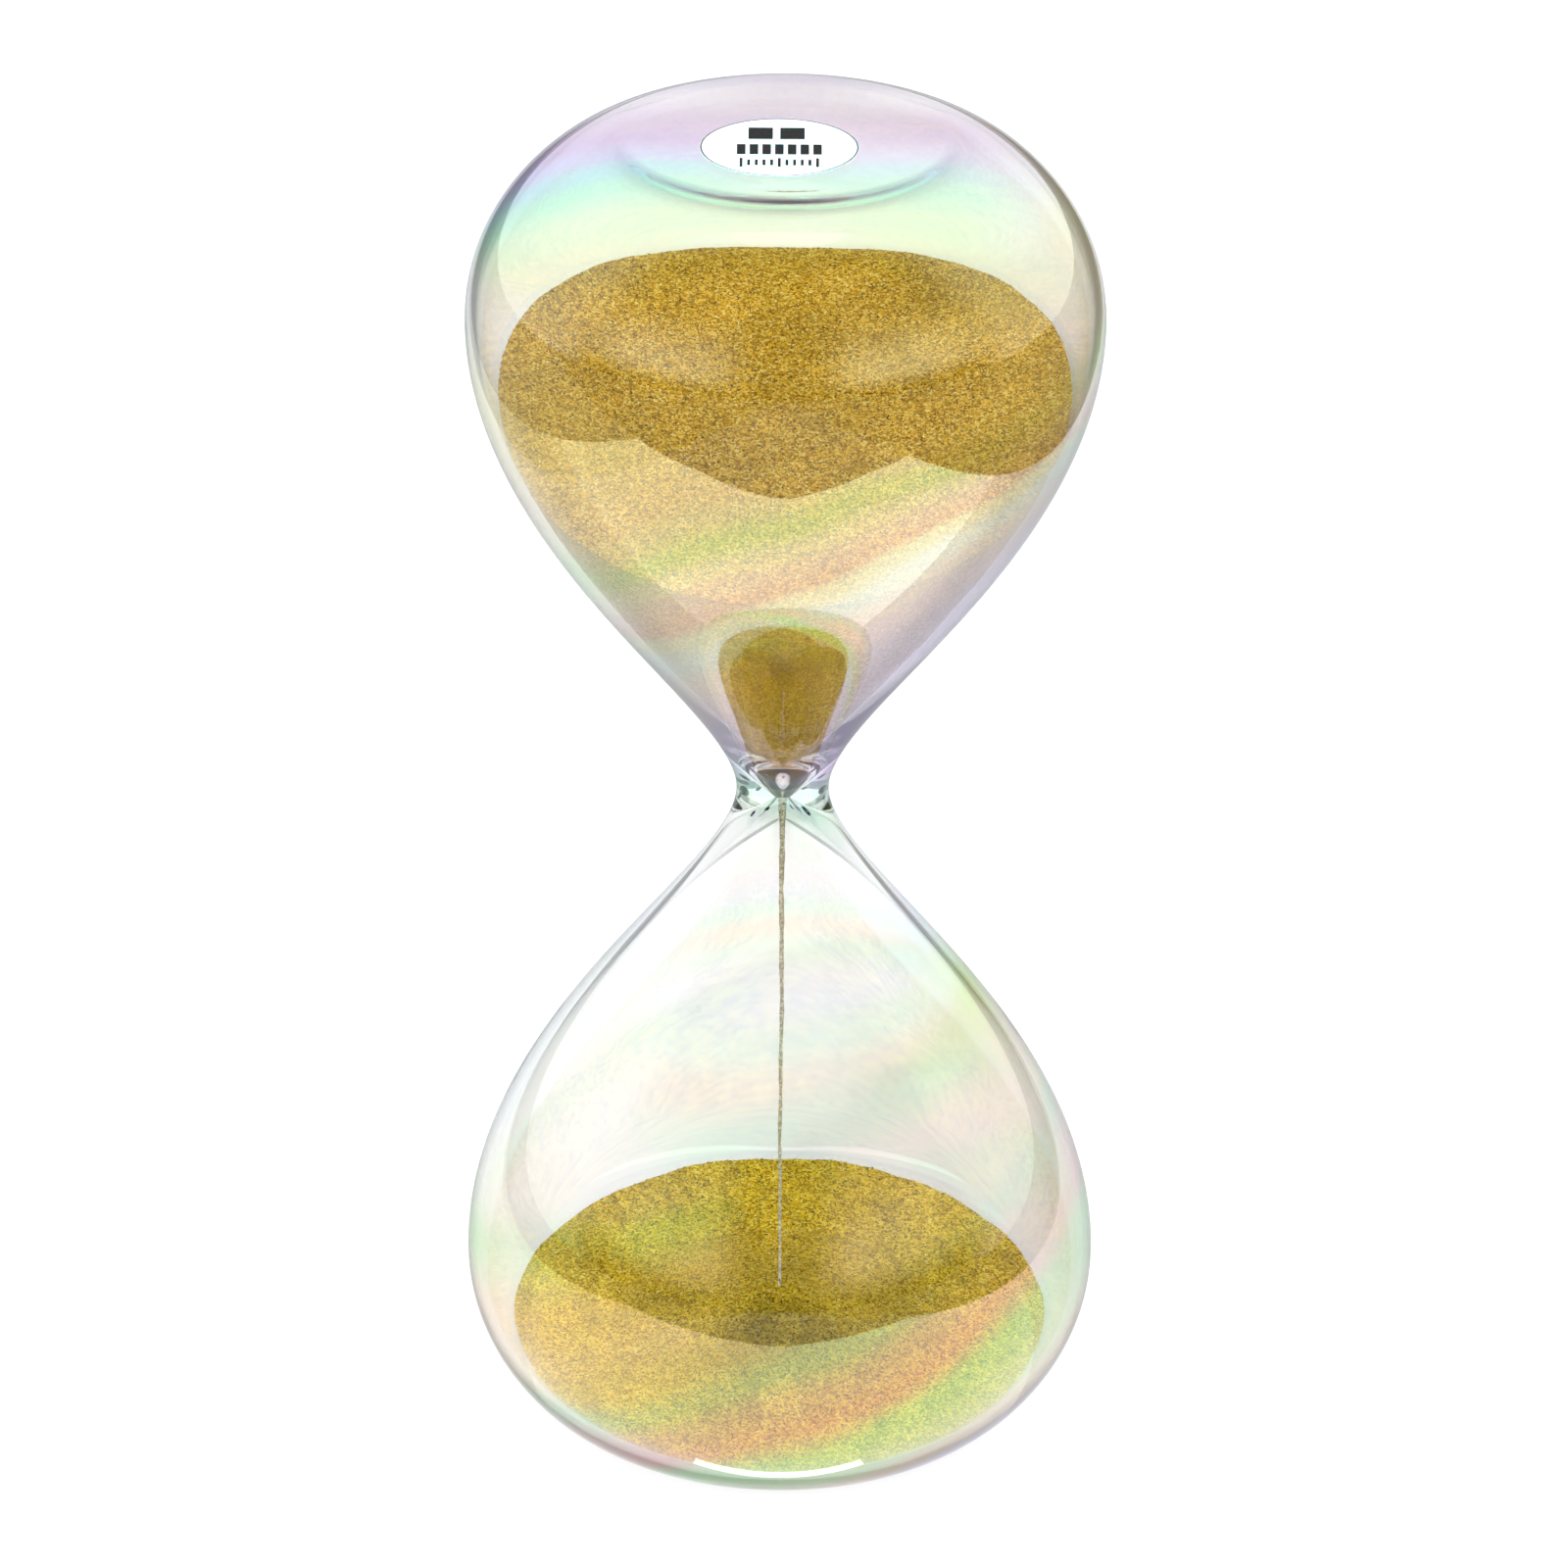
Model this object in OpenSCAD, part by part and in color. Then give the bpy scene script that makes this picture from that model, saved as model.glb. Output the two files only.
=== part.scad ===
// Frameless blown-glass sand timer: two bulbs fused at a waist, with the sand part-way through its run.
// Origin: middle of the lower standing face. +Z runs up the glass, and the sand beds lean towards -Y.

/* [Glass] */
// Overall height, standing face to standing face
height = 196; // [184:1:208]
// Diameter of each bulb at its widest
bulb_d = 89; // [82:1:96]
// Height of the widest circle above its own standing face
widest_h = 27; // [25:0.5:29]
// Diameter at which the flat end starts to round up
foot_d = 45; // [44.5:0.5:48]
// Outside diameter at the middle of the waist
waist_d = 13; // [12:0.5:14]
// Wall of the bulbs
wall = 1.6; // [1.4:0.1:2]
// Wall in the flat ends
end_wall = 2.4; // [2:0.1:3.5]
// Bore of the orifice
orifice_d = 1.4; // [1.2:0.1:1.8]

/* [Filling hole] */
// Diameter of the stopper
plug_d = 6; // [5:0.5:7]
// Width of the sealant ring round the stopper
seal_w = 1; // [0.8:0.1:1.4]

/* [Time sticker] */
// Diameter of the sticker
label_d = 22; // [18:0.5:22]
// Thickness of the sticker
label_t = 0.12; // [0.1:0.01:0.2]
// How far the sticker sits from the axis, towards the front
label_shift = 4; // [0:0.5:4]
// How far the sticker sits from the axis, towards the left
label_side = 1; // [0:0.5:2]

/* [Sand] */
// Height of the upper bed's surface above the middle of the waist
upper_level = 53.5; // [40:0.5:58]
// Lean of the upper bed's surface, in degrees
upper_lean = 19; // [5:0.5:22]
// Height of the lower bed's surface above the standing face
lower_level = 13; // [12:0.5:18]
// Lean of the lower bed's surface, in degrees
lower_lean = 10; // [0:1:12]
// Height of the landing heap over the lower bed
heap_h = 7; // [4:0.5:9]
// Thickness of the falling thread
stream_d = 0.8; // [0.6:0.1:1]

/* [Hidden] */

$fn = 128;
mid = height / 2;
bulb_r = bulb_d / 2;
waist_r = waist_d / 2;
orifice_r = orifice_d / 2;
widest = mid - widest_h;       // height of the widest circle above the middle of the waist
joint_h = 8;                   // the waist piece reaches this far above and below its middle
sand_gap = 0.3;                // grains stand off the glass by about their own size
recess_d = 0.2;                // hollow of the flat ends inside the standing ring
recess_r = 20.5;
ring_r = 21.8;
seal_depth = 0.8;
plug_tail = 1.2;               // the stopper reaches this far past the inner face
stream_r = stream_d / 2;
trough_r = 200;                // the upper bed is drawn down along its middle
heap_r = 24;
heap_root = heap_h * 0.75;     // the heap is carried this far into the leaning bed
cut = 120;                     // larger than any bulb
shoulder_steps = 12;
flank_steps = 22;
// Handle lengths of the outline's two curves, at their flat end, widest circle and waist
foot_pull = 7.4;
shoulder_pull = 16.8;
flank_pull = 31.7;
waist_pull = 12.75;

// Control points, measured up from the middle of the waist: flat end to widest circle, then down to the waist
shoulder = [[foot_d / 2, mid], [foot_d / 2 + foot_pull, mid],
            [bulb_r, widest + shoulder_pull], [bulb_r, widest]];
flank = [[bulb_r, widest], [bulb_r, widest - flank_pull], [waist_r, waist_pull], [waist_r, 0]];

function bezier(p, t) =
    pow(1 - t, 3) * p[0] + 3 * pow(1 - t, 2) * t * p[1] + 3 * (1 - t) * t * t * p[2] + pow(t, 3) * p[3];

function slope(p, t) =
    3 * pow(1 - t, 2) * (p[1] - p[0]) + 6 * (1 - t) * t * (p[2] - p[1]) + 3 * t * t * (p[3] - p[2]);

// A point of the curve moved square to it, towards the inside of the glass
function inward(p, t, d) =
    let (v = slope(p, t) / norm(slope(p, t))) bezier(p, t) + d * [v[1], -v[0]];

// The wall thins from the flat end to the widest circle, and swells again towards the orifice
function shoulder_wall(t) = wall + (end_wall - wall) * pow(1 - t, 2);
function flank_wall(t) = wall + (waist_r - orifice_r - wall) * pow(t, 9);

function outer_half() = concat(
    [for (i = [0:shoulder_steps - 1]) bezier(shoulder, i / shoulder_steps)],
    [for (i = [0:flank_steps]) bezier(flank, i / flank_steps)]);

function inner_half(gap) = concat(
    [for (i = [0:shoulder_steps - 1])
        let (t = i / shoulder_steps) inward(shoulder, t, shoulder_wall(t) + gap)],
    [for (i = [0:flank_steps])
        let (t = i / flank_steps) inward(flank, t, flank_wall(t) + gap)]);

// Everything inside the glass of one half, less a gap, turned round the axis above the middle of the waist
module cavity(gap) {
    rotate_extrude()
        polygon(concat([[0, 0], [0, mid - end_wall - gap]], inner_half(gap)));
}

// One half of the blown glass, from the middle of the waist to its hollowed flat end
module half_glass() {
    difference() {
        rotate_extrude()
            polygon(concat([[0, 0], [0, mid - recess_d], [recess_r, mid - recess_d], [ring_r, mid]],
                           outer_half()));
        cavity(0);
    }
}

module above(z) {
    intersection() {
        children();
        translate([0, 0, z]) cylinder(r = cut, h = cut);
    }
}

module below(z) {
    intersection() {
        children();
        translate([0, 0, z - cut]) cylinder(r = cut, h = cut);
    }
}

module at_waist() {
    translate([0, 0, mid]) children();
}

module upside_down() {
    rotate([180, 0, 0]) children();
}

module upper_bulb() {
    color("lavender", 0.35) at_waist() difference() {
        above(joint_h) half_glass();
        cylinder(d = plug_d, h = height);
        translate([0, 0, mid - recess_d - seal_depth])
            cylinder(r1 = plug_d / 2, r2 = plug_d / 2 + seal_w, h = seal_depth);
    }
}

module lower_bulb() {
    color("azure", 0.35) at_waist() upside_down() above(joint_h) half_glass();
}

module waist() {
    color("lightcyan", 0.35) at_waist() {
        below(joint_h) half_glass();
        upside_down() below(joint_h) half_glass();
    }
}

module filling_plug() {
    plug_h = end_wall - recess_d + plug_tail;
    color("whitesmoke") at_waist() translate([0, 0, mid - recess_d - plug_h]) {
        cylinder(r1 = plug_d / 2 - 0.6, r2 = plug_d / 2, h = plug_tail);
        translate([0, 0, plug_tail]) cylinder(d = plug_d, h = plug_h - plug_tail);
    }
}

module plug_seal() {
    color("gainsboro") at_waist() translate([0, 0, mid - recess_d - seal_depth]) difference() {
        cylinder(r1 = plug_d / 2, r2 = plug_d / 2 + seal_w, h = seal_depth);
        cylinder(d = plug_d, h = seal_depth);
    }
}

module time_label() {
    color("white") at_waist() translate([-label_side, -label_shift, mid - recess_d])
        cylinder(d = label_d, h = label_t);
}

module upper_sand() {
    color("goldenrod") at_waist() difference() {
        above(joint_h) cavity(sand_gap);
        translate([0, 0, upper_level]) rotate([upper_lean, 0, 0])
            translate([0, 0, trough_r]) rotate([90, 0, 0])
                cylinder(r = trough_r, h = 2 * cut, center = true);
    }
}

module throat_sand() {
    color("darkgoldenrod") at_waist() difference() {
        below(joint_h) cavity(sand_gap);
        cylinder(r = cut, h = orifice_r);
    }
}

module sand_stream() {
    landing = lower_level + heap_h;
    color("khaki") translate([0, 0, landing])
        cylinder(r = stream_r, h = mid + orifice_r - landing);
}

module lower_sand() {
    color("goldenrod") {
        difference() {
            at_waist() upside_down() above(joint_h) cavity(sand_gap);
            translate([0, 0, lower_level]) rotate([lower_lean, 0, 0])
                cylinder(r = cut, h = height);
        }
        translate([0, 0, lower_level - heap_root])
            cylinder(r1 = heap_r, r2 = stream_r, h = heap_root + heap_h);
    }
}

upper_bulb();
lower_bulb();
waist();
filling_plug();
plug_seal();
time_label();
upper_sand();
throat_sand();
sand_stream();
lower_sand();
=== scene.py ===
"""Finished looks of a frameless blown-glass sand timer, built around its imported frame.

Two iridescent glass bulbs are fused at a thick waist. Gold sand lies in both, runs through the waist as a
thread and heaps up below. A round time sticker sits in the hollow of the upper flat end, over the stopper.
Everything is in metres, with the timer standing on z = 0 and its front towards -Y.
"""

import logging
import math
from dataclasses import dataclass
from enum import Enum
from typing import Callable, Iterable, Sequence

import bpy
from mathutils import Matrix, Vector


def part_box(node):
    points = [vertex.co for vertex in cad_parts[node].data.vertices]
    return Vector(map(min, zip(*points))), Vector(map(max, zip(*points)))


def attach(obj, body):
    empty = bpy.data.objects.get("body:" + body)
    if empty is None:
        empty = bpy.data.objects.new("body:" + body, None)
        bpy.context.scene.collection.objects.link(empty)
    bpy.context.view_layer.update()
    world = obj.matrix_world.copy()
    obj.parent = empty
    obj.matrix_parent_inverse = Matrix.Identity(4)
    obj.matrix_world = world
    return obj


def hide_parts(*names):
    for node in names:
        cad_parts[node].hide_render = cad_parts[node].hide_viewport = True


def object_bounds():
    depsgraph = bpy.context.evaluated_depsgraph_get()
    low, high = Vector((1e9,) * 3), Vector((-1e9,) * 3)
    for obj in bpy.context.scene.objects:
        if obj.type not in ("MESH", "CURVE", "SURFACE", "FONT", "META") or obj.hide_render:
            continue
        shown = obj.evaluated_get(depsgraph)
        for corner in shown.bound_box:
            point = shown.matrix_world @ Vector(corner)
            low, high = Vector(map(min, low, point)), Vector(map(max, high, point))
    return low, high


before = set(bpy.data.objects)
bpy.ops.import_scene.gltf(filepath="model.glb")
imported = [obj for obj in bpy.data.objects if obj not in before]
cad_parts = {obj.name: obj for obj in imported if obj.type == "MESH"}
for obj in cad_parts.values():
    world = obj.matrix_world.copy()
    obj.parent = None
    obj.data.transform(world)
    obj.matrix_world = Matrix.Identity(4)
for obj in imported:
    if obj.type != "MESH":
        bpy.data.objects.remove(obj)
CAD_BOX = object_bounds()

log = logging.getLogger("sand_timer")

MM = 0.001
BODY = "root"
ROUND_STEPS = 192          # steps of a full turn on the glass
HAIR = 1e-7                # two points closer than this are one point
GLASS_IOR = 1.5
WHITE = (1.0, 1.0, 1.0, 1.0)

Outline = list[tuple[float, float]]
Colour = tuple[float, float, float]
Row = tuple[tuple[float, Colour, float], ...]     # places in mm, colours and strengths


class Half(Enum):
    """Which half of the timer a piece belongs to; the value is its direction from the waist."""

    UPPER = 1
    LOWER = -1


# ---------------------------------------------------------------------------------------------------------------
# Modelling helpers
# ---------------------------------------------------------------------------------------------------------------


def select_only(piece: bpy.types.Object) -> None:
    """Deselects everything, then selects one piece and makes it active.

    Args:
        piece: The object that the next operators work on.
    """
    if bpy.context.object is not None and bpy.context.object.mode != "OBJECT":
        bpy.ops.object.mode_set(mode="OBJECT")
    bpy.ops.object.select_all(action="DESELECT")
    piece.hide_set(False)
    piece.select_set(True)
    bpy.context.view_layer.objects.active = piece


def open_mesh(piece: bpy.types.Object, mode: str = "VERT") -> None:
    """Enters edit mode on a piece with everything in it selected.

    Args:
        piece: The object to edit.
        mode: The selection mode, VERT, EDGE or FACE.
    """
    select_only(piece)
    bpy.ops.object.mode_set(mode="EDIT")
    bpy.ops.mesh.select_mode(type=mode)
    bpy.ops.mesh.select_all(action="SELECT")


def close_mesh() -> None:
    """Leaves edit mode."""
    bpy.ops.object.mode_set(mode="OBJECT")


def named(name: str) -> bpy.types.Object:
    """Names the active object and its mesh.

    Args:
        name: A maker's name for the piece.

    Returns:
        The active object.
    """
    piece = bpy.context.object
    piece.name = name
    piece.data.name = name
    return piece


def turned(name: str, outline: Outline, closed: bool, steps: int = ROUND_STEPS) -> bpy.types.Object:
    """Turns an outline round the Z axis, as on a lathe.

    Args:
        name: The new piece's name.
        outline: Points as radius and height, in metres, in order along the section.
        closed: True if the section is a closed ring that stays off the axis. False if it starts and ends on
            the axis.
        steps: How many steps the full turn has.

    Returns:
        The turned piece, closed and with its faces outwards.
    """
    bpy.ops.object.select_all(action="DESELECT")
    bpy.ops.mesh.primitive_circle_add(vertices=len(outline), radius=1.0, fill_type="NOTHING")
    piece = named(name)
    for vertex, (radius, height) in zip(piece.data.vertices, outline):
        vertex.co = (radius, 0.0, height)
    if not closed:
        last = len(outline) - 1
        for edge in piece.data.edges:
            edge.select = set(edge.vertices) == {0, last}
        for vertex in piece.data.vertices:
            vertex.select = False
        select_only(piece)
        bpy.ops.object.mode_set(mode="EDIT")
        bpy.ops.mesh.select_mode(type="EDGE")
        bpy.ops.mesh.delete(type="EDGE")
        close_mesh()
    open_mesh(piece)
    bpy.ops.mesh.spin(steps=steps, angle=math.tau, center=(0, 0, 0), axis=(0, 0, 1), use_auto_merge=True)
    bpy.ops.mesh.select_all(action="SELECT")
    bpy.ops.mesh.remove_doubles(threshold=HAIR)
    bpy.ops.mesh.normals_make_consistent(inside=False)
    close_mesh()
    return piece


def smooth_round(piece: bpy.types.Object, sharpest: float = 40.0) -> None:
    """Shades a piece smooth, apart from edges that turn by more than an angle.

    Args:
        piece: The object to shade.
        sharpest: The angle in degrees past which an edge stays sharp.
    """
    select_only(piece)
    bpy.ops.object.shade_smooth_by_angle(angle=math.radians(sharpest))


def moved_points(piece: bpy.types.Object, rule: Callable[[Vector], Vector]) -> None:
    """Moves every point of a mesh by a rule.

    Args:
        piece: The object whose points move.
        rule: Gives a point's new place from its place.
    """
    for vertex in piece.data.vertices:
        vertex.co = rule(vertex.co)
    piece.data.update()


def modified(piece: bpy.types.Object, kind: str, **settings: object) -> None:
    """Adds a modifier to a piece and applies it.

    Args:
        piece: The object to change.
        kind: Blender's name for the modifier's type.
        settings: The modifier's own settings.
    """
    select_only(piece)
    modifier = piece.modifiers.new(kind.title(), kind)
    for setting, value in settings.items():
        setattr(modifier, setting, value)
    bpy.ops.object.modifier_apply(modifier=modifier.name)


def painted(piece: bpy.types.Object, material: bpy.types.Material) -> None:
    """Gives a piece one material, in place of any that it has."""
    piece.data.materials.clear()
    piece.data.materials.append(material)


def discarded(piece: bpy.types.Object) -> None:
    """Removes a helper object and its mesh."""
    mesh = piece.data
    bpy.data.objects.remove(piece)
    bpy.data.meshes.remove(mesh)


def joined(piece: bpy.types.Object, others: Sequence[bpy.types.Object]) -> None:
    """Joins other meshes into a piece.

    Args:
        piece: The object that takes the others in.
        others: The objects that go into it.
    """
    select_only(piece)
    for other in others:
        other.select_set(True)
    bpy.ops.object.join()


def finished(piece: bpy.types.Object, slot: str, *nodes: str) -> bpy.types.Object:
    """Fixes a finished piece to the frame.

    Args:
        piece: The finished object.
        slot: The record's material slot; not used.
        nodes: The CAD nodes that it stands for.

    Returns:
        The same piece.
    """
    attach(piece, BODY)
    if nodes:
        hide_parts(*nodes)
    log.info("%s: %d faces, stands for %s", piece.name, len(piece.data.polygons), nodes or "nothing")
    return piece


def blend_smoothly(share: float) -> float:
    """An S-shaped step from 0 to 1."""
    share = min(max(share, 0.0), 1.0)
    return share * share * (3 - 2 * share)


# ---------------------------------------------------------------------------------------------------------------
# Node helpers
# ---------------------------------------------------------------------------------------------------------------


class NodeSheet:
    """A node tree being wired: a material's, a group's or the world's."""

    def __init__(self, tree: bpy.types.NodeTree) -> None:
        """Keeps the tree that nodes are added to."""
        self.tree = tree

    def add(self, kind: str, **settings: object) -> bpy.types.Node:
        """Adds a node.

        Args:
            kind: The node's type, without its ShaderNode prefix.
            settings: The node's own settings.

        Returns:
            The new node.
        """
        prefix = "" if kind.startswith("NodeGroup") else "ShaderNode"
        node = self.tree.nodes.new(prefix + kind)
        for setting, value in settings.items():
            setattr(node, setting, value)
        return node

    def wire(self, source: bpy.types.NodeSocket, target: bpy.types.NodeSocket) -> None:
        """Joins an output to an input."""
        self.tree.links.new(source, target)

    def feed(self, target: bpy.types.NodeSocket, value: object) -> None:
        """Gives an input either a plain value or another node's output.

        Args:
            target: The input.
            value: A number, a tuple or an output socket.
        """
        if isinstance(value, bpy.types.NodeSocket):
            self.wire(value, target)
        else:
            target.default_value = value

    def maths(self, operation: str, *values: object, clamp: bool = False) -> bpy.types.NodeSocket:
        """Adds a Math node.

        Args:
            operation: The node's operation.
            values: Its inputs, as numbers or outputs.
            clamp: Whether the result is kept between 0 and 1.

        Returns:
            The result.
        """
        node = self.add("Math", operation=operation, use_clamp=clamp)
        for target, value in zip(node.inputs, values):
            self.feed(target, value)
        return node.outputs[0]

    def mixed(self, share: object, first: object, second: object, how: str = "MIX") -> bpy.types.NodeSocket:
        """Mixes two colours.

        Args:
            share: How much of the second colour shows.
            first: The first colour.
            second: The second colour.
            how: The blend type.

        Returns:
            The mixed colour.
        """
        node = self.add("Mix", data_type="RGBA", blend_type=how, clamp_factor=True)
        self.feed(node.inputs[0], share)
        self.feed(node.inputs[6], first)
        self.feed(node.inputs[7], second)
        return node.outputs[2]

    def ranged(self, value: object, low: float, high: float, start: float = 0.0,
               end: float = 1.0) -> bpy.types.NodeSocket:
        """Maps a value smoothly from one range to another.

        Args:
            value: The value to map.
            low: Where the input range starts.
            high: Where the input range ends.
            start: The result at low.
            end: The result at high.

        Returns:
            The mapped value.
        """
        node = self.add("MapRange", interpolation_type="SMOOTHSTEP")
        for target, given in zip(node.inputs, (value, low, high, start, end)):
            self.feed(target, given)
        return node.outputs[0]

    def place(self) -> bpy.types.NodeSocket:
        """The place on the piece, in metres."""
        return self.add("TexCoord").outputs["Object"]

    def vectors(self, operation: str, *values: object) -> bpy.types.Node:
        """Adds a Vector Math node.

        Args:
            operation: The node's operation.
            values: Its vector inputs, as tuples or outputs; for SCALE, the vector and the factor.

        Returns:
            The node.
        """
        node = self.add("VectorMath", operation=operation)
        targets = (node.inputs[0], node.inputs["Scale"]) if operation == "SCALE" else node.inputs
        for target, value in zip(targets, values):
            self.feed(target, value)
        return node

    def bump(self, height: object, distance: float, strength: float = 1.0) -> bpy.types.Node:
        """Adds a Bump node.

        Args:
            height: The height that it reads.
            distance: The height's real size in metres.
            strength: How much of it shows.

        Returns:
            The node.
        """
        node = self.add("Bump")
        node.inputs["Strength"].default_value = strength
        node.inputs["Distance"].default_value = distance
        self.wire(height, node.inputs["Height"])
        return node

    def glass(self, colour: object, normal: bpy.types.NodeSocket) -> bpy.types.NodeSocket:
        """Adds clear polished glass.

        Args:
            colour: What it leaves in the light that passes.
            normal: Its waves.

        Returns:
            The shader.
        """
        node = self.add("BsdfPrincipled")
        self.feed(node.inputs["Base Color"], colour)
        node.inputs["Roughness"].default_value = 0.0
        node.inputs["IOR"].default_value = GLASS_IOR
        node.inputs["Transmission Weight"].default_value = 1.0
        self.wire(normal, node.inputs["Normal"])
        return node.outputs[0]

    def blended(self, share: object, first: bpy.types.NodeSocket,
                second: bpy.types.NodeSocket) -> bpy.types.NodeSocket:
        """Mixes two shaders.

        Args:
            share: How much of the second shader shows.
            first: The first shader.
            second: The second shader.

        Returns:
            The mixed shader.
        """
        node = self.add("MixShader")
        for target, value in zip(node.inputs, (share, first, second)):
            self.feed(target, value)
        return node.outputs[0]

    def surface(self, shader: bpy.types.NodeSocket, kind: str = "OutputMaterial") -> None:
        """Wires a shader to the output.

        Args:
            shader: The finished shader.
            kind: The output node's type.
        """
        self.wire(shader, self.add(kind).inputs["Surface"])

    def noise(self, where: object, size: float, detail: float = 2.0) -> bpy.types.NodeSocket:
        """A smooth noise.

        Args:
            where: The coordinates it is read at, in metres.
            size: The size of its lumps in metres.
            detail: How many finer layers it has.

        Returns:
            The noise's value, around 0.5.
        """
        node = self.add("TexNoise")
        self.feed(node.inputs["Vector"], where)
        node.inputs["Scale"].default_value = 1 / size
        node.inputs["Detail"].default_value = detail
        return node.outputs[0]

    def ramp(self, value: object, stops: Sequence[tuple[float, Colour, float]],
             how: str = "EASE") -> bpy.types.Node:
        """A colour ramp.

        Args:
            value: Where on the ramp.
            stops: Each stop's place, colour and alpha.
            how: The interpolation between stops.

        Returns:
            The ramp's node.
        """
        node = self.add("ValToRGB")
        node.color_ramp.interpolation = how
        elements = node.color_ramp.elements
        while len(elements) < len(stops):
            elements.new(1.0)
        for element, (place, colour, alpha) in zip(elements, stops):
            element.position = place
            element.color = (*colour, alpha)
        self.feed(node.inputs[0], value)
        return node


def new_material(name: str) -> tuple[bpy.types.Material, NodeSheet]:
    """An empty node material.

    Args:
        name: The material's name.

    Returns:
        The material and its node sheet.
    """
    material = bpy.data.materials.new(name)
    material.use_nodes = True
    material.node_tree.nodes.clear()
    return material, NodeSheet(material.node_tree)


def new_group(name: str, inputs: dict[str, float], outputs: dict[str, str]) -> tuple[
        bpy.types.NodeTree, NodeSheet, bpy.types.Node, bpy.types.Node]:
    """An empty shader node group with named sockets.

    Args:
        name: The group's name.
        inputs: Each number input and its default.
        outputs: Each output and its socket type.

    Returns:
        The group, its node sheet, and the nodes that hold its inputs and outputs.
    """
    group = bpy.data.node_groups.new(name, "ShaderNodeTree")
    for label, default in inputs.items():
        socket = group.interface.new_socket(label, in_out="INPUT", socket_type="NodeSocketFloat")
        socket.default_value = default
    for label, kind in outputs.items():
        group.interface.new_socket(label, in_out="OUTPUT", socket_type=kind)
    sheet = NodeSheet(group)
    return group, sheet, sheet.add("NodeGroupInput"), sheet.add("NodeGroupOutput")


# ---------------------------------------------------------------------------------------------------------------
# Shared surface effects
# ---------------------------------------------------------------------------------------------------------------


@dataclass(frozen=True)
class FilmBands:
    """The rainbow bands of a thin metal-oxide film, by place on the glass.

    The film's thickness changes along the glass and wanders a little, and its tint follows a row of colours.
    """

    middle: float              # height of the middle of the waist
    row: Row                   # each tint's place, colour and strength, in order
    per_height: float = 1.0    # how far the place moves for each metre up the glass
    per_side: float = 0.0      # the same towards +X, level with the middle of the waist
    twist: float = 0.0         # how much the sideways share grows for each metre over the waist
    per_front: float = 0.0     # the same towards -Y
    wander: float = 2 * MM     # how far lumps in the film shift the place
    low: float = -1.0          # the film fades out below this height over the waist
    left: float = -1.0         # the film fades out to the left of this
    right: float = 1.0         # and to the right of this

    FADE = 22 * MM             # the film fades out sideways over this width
    DROP = 10 * MM             # and downwards over this height

    @staticmethod
    def group() -> bpy.types.NodeTree:
        """The shared node group, built on first use.

        Returns:
            The node group, which puts out the place in the row and a soft mask of where the film is strong.
        """
        found = bpy.data.node_groups.get("film_place")
        if found is not None:
            return found
        inputs = {"Middle": 0.0, "First": 0.0, "Last": 1.0, "Per Height": 1.0, "Per Side": 0.0, "Twist": 0.0,
                  "Per Front": 0.0, "Wander": 0.0, "Low": -1.0, "Left": -1.0, "Right": 1.0}
        group, sheet, given, result = new_group(
            "film_place", inputs, {"Place": "NodeSocketFloat", "Strength": "NodeSocketFloat"})
        place = sheet.place()
        split = sheet.add("SeparateXYZ")
        sheet.wire(place, split.inputs[0])
        over = sheet.maths("SUBTRACT", split.outputs["Z"], given.outputs["Middle"])
        slope = sheet.maths("MULTIPLY_ADD", over, given.outputs["Twist"], given.outputs["Per Side"])
        reach = sheet.maths("MULTIPLY_ADD", split.outputs["X"], slope,
                            sheet.maths("MULTIPLY", over, given.outputs["Per Height"]))
        reach = sheet.maths("SUBTRACT", reach,
                            sheet.maths("MULTIPLY", split.outputs["Y"], given.outputs["Per Front"]))
        lumps = sheet.maths("SUBTRACT", sheet.noise(place, 30 * MM, 1.5), 0.5)
        reach = sheet.maths("MULTIPLY_ADD", lumps, given.outputs["Wander"], reach)
        span = sheet.maths("SUBTRACT", given.outputs["Last"], given.outputs["First"])
        along = sheet.maths("DIVIDE", sheet.maths("SUBTRACT", reach, given.outputs["First"]), span, clamp=True)
        right = sheet.maths("DIVIDE", sheet.maths("SUBTRACT", given.outputs["Right"], split.outputs["X"]),
                            FilmBands.FADE)
        left = sheet.maths("DIVIDE", sheet.maths("SUBTRACT", split.outputs["X"], given.outputs["Left"]),
                           FilmBands.FADE)
        patches = sheet.ranged(sheet.noise(place, 26 * MM, 1.0), 0.3, 0.65, 0.8, 1.0)
        high = sheet.maths("DIVIDE", sheet.maths("SUBTRACT", over, given.outputs["Low"]), FilmBands.DROP)
        strength = sheet.maths("MULTIPLY", sheet.ranged(right, 0.0, 1.0), sheet.ranged(left, 0.0, 1.0))
        strength = sheet.maths("MULTIPLY", strength, sheet.ranged(high, 0.0, 1.0))
        sheet.wire(along, result.inputs["Place"])
        sheet.wire(sheet.maths("MULTIPLY", strength, patches), result.inputs["Strength"])
        return group

    def placed(self, sheet: NodeSheet) -> tuple[bpy.types.NodeSocket, bpy.types.NodeSocket]:
        """Places the group in a material with this film's values, and its row of colours after it.

        Args:
            sheet: The material's node sheet.

        Returns:
            The film's colour and its strength.
        """
        first, last = self.row[0][0], self.row[-1][0]
        node = sheet.add("Group", node_tree=self.group())
        values = (self.middle, first * MM, last * MM, self.per_height, self.per_side, self.twist,
                  self.per_front, self.wander, self.low, self.left, self.right)
        for socket, value in zip(node.inputs, values):
            socket.default_value = value
        stops = [((reach - first) / (last - first), colour, strength) for reach, colour, strength in self.row]
        tint = sheet.ramp(node.outputs["Place"], stops)
        return tint.outputs["Color"], sheet.maths("MULTIPLY", tint.outputs["Alpha"], node.outputs["Strength"])


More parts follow.
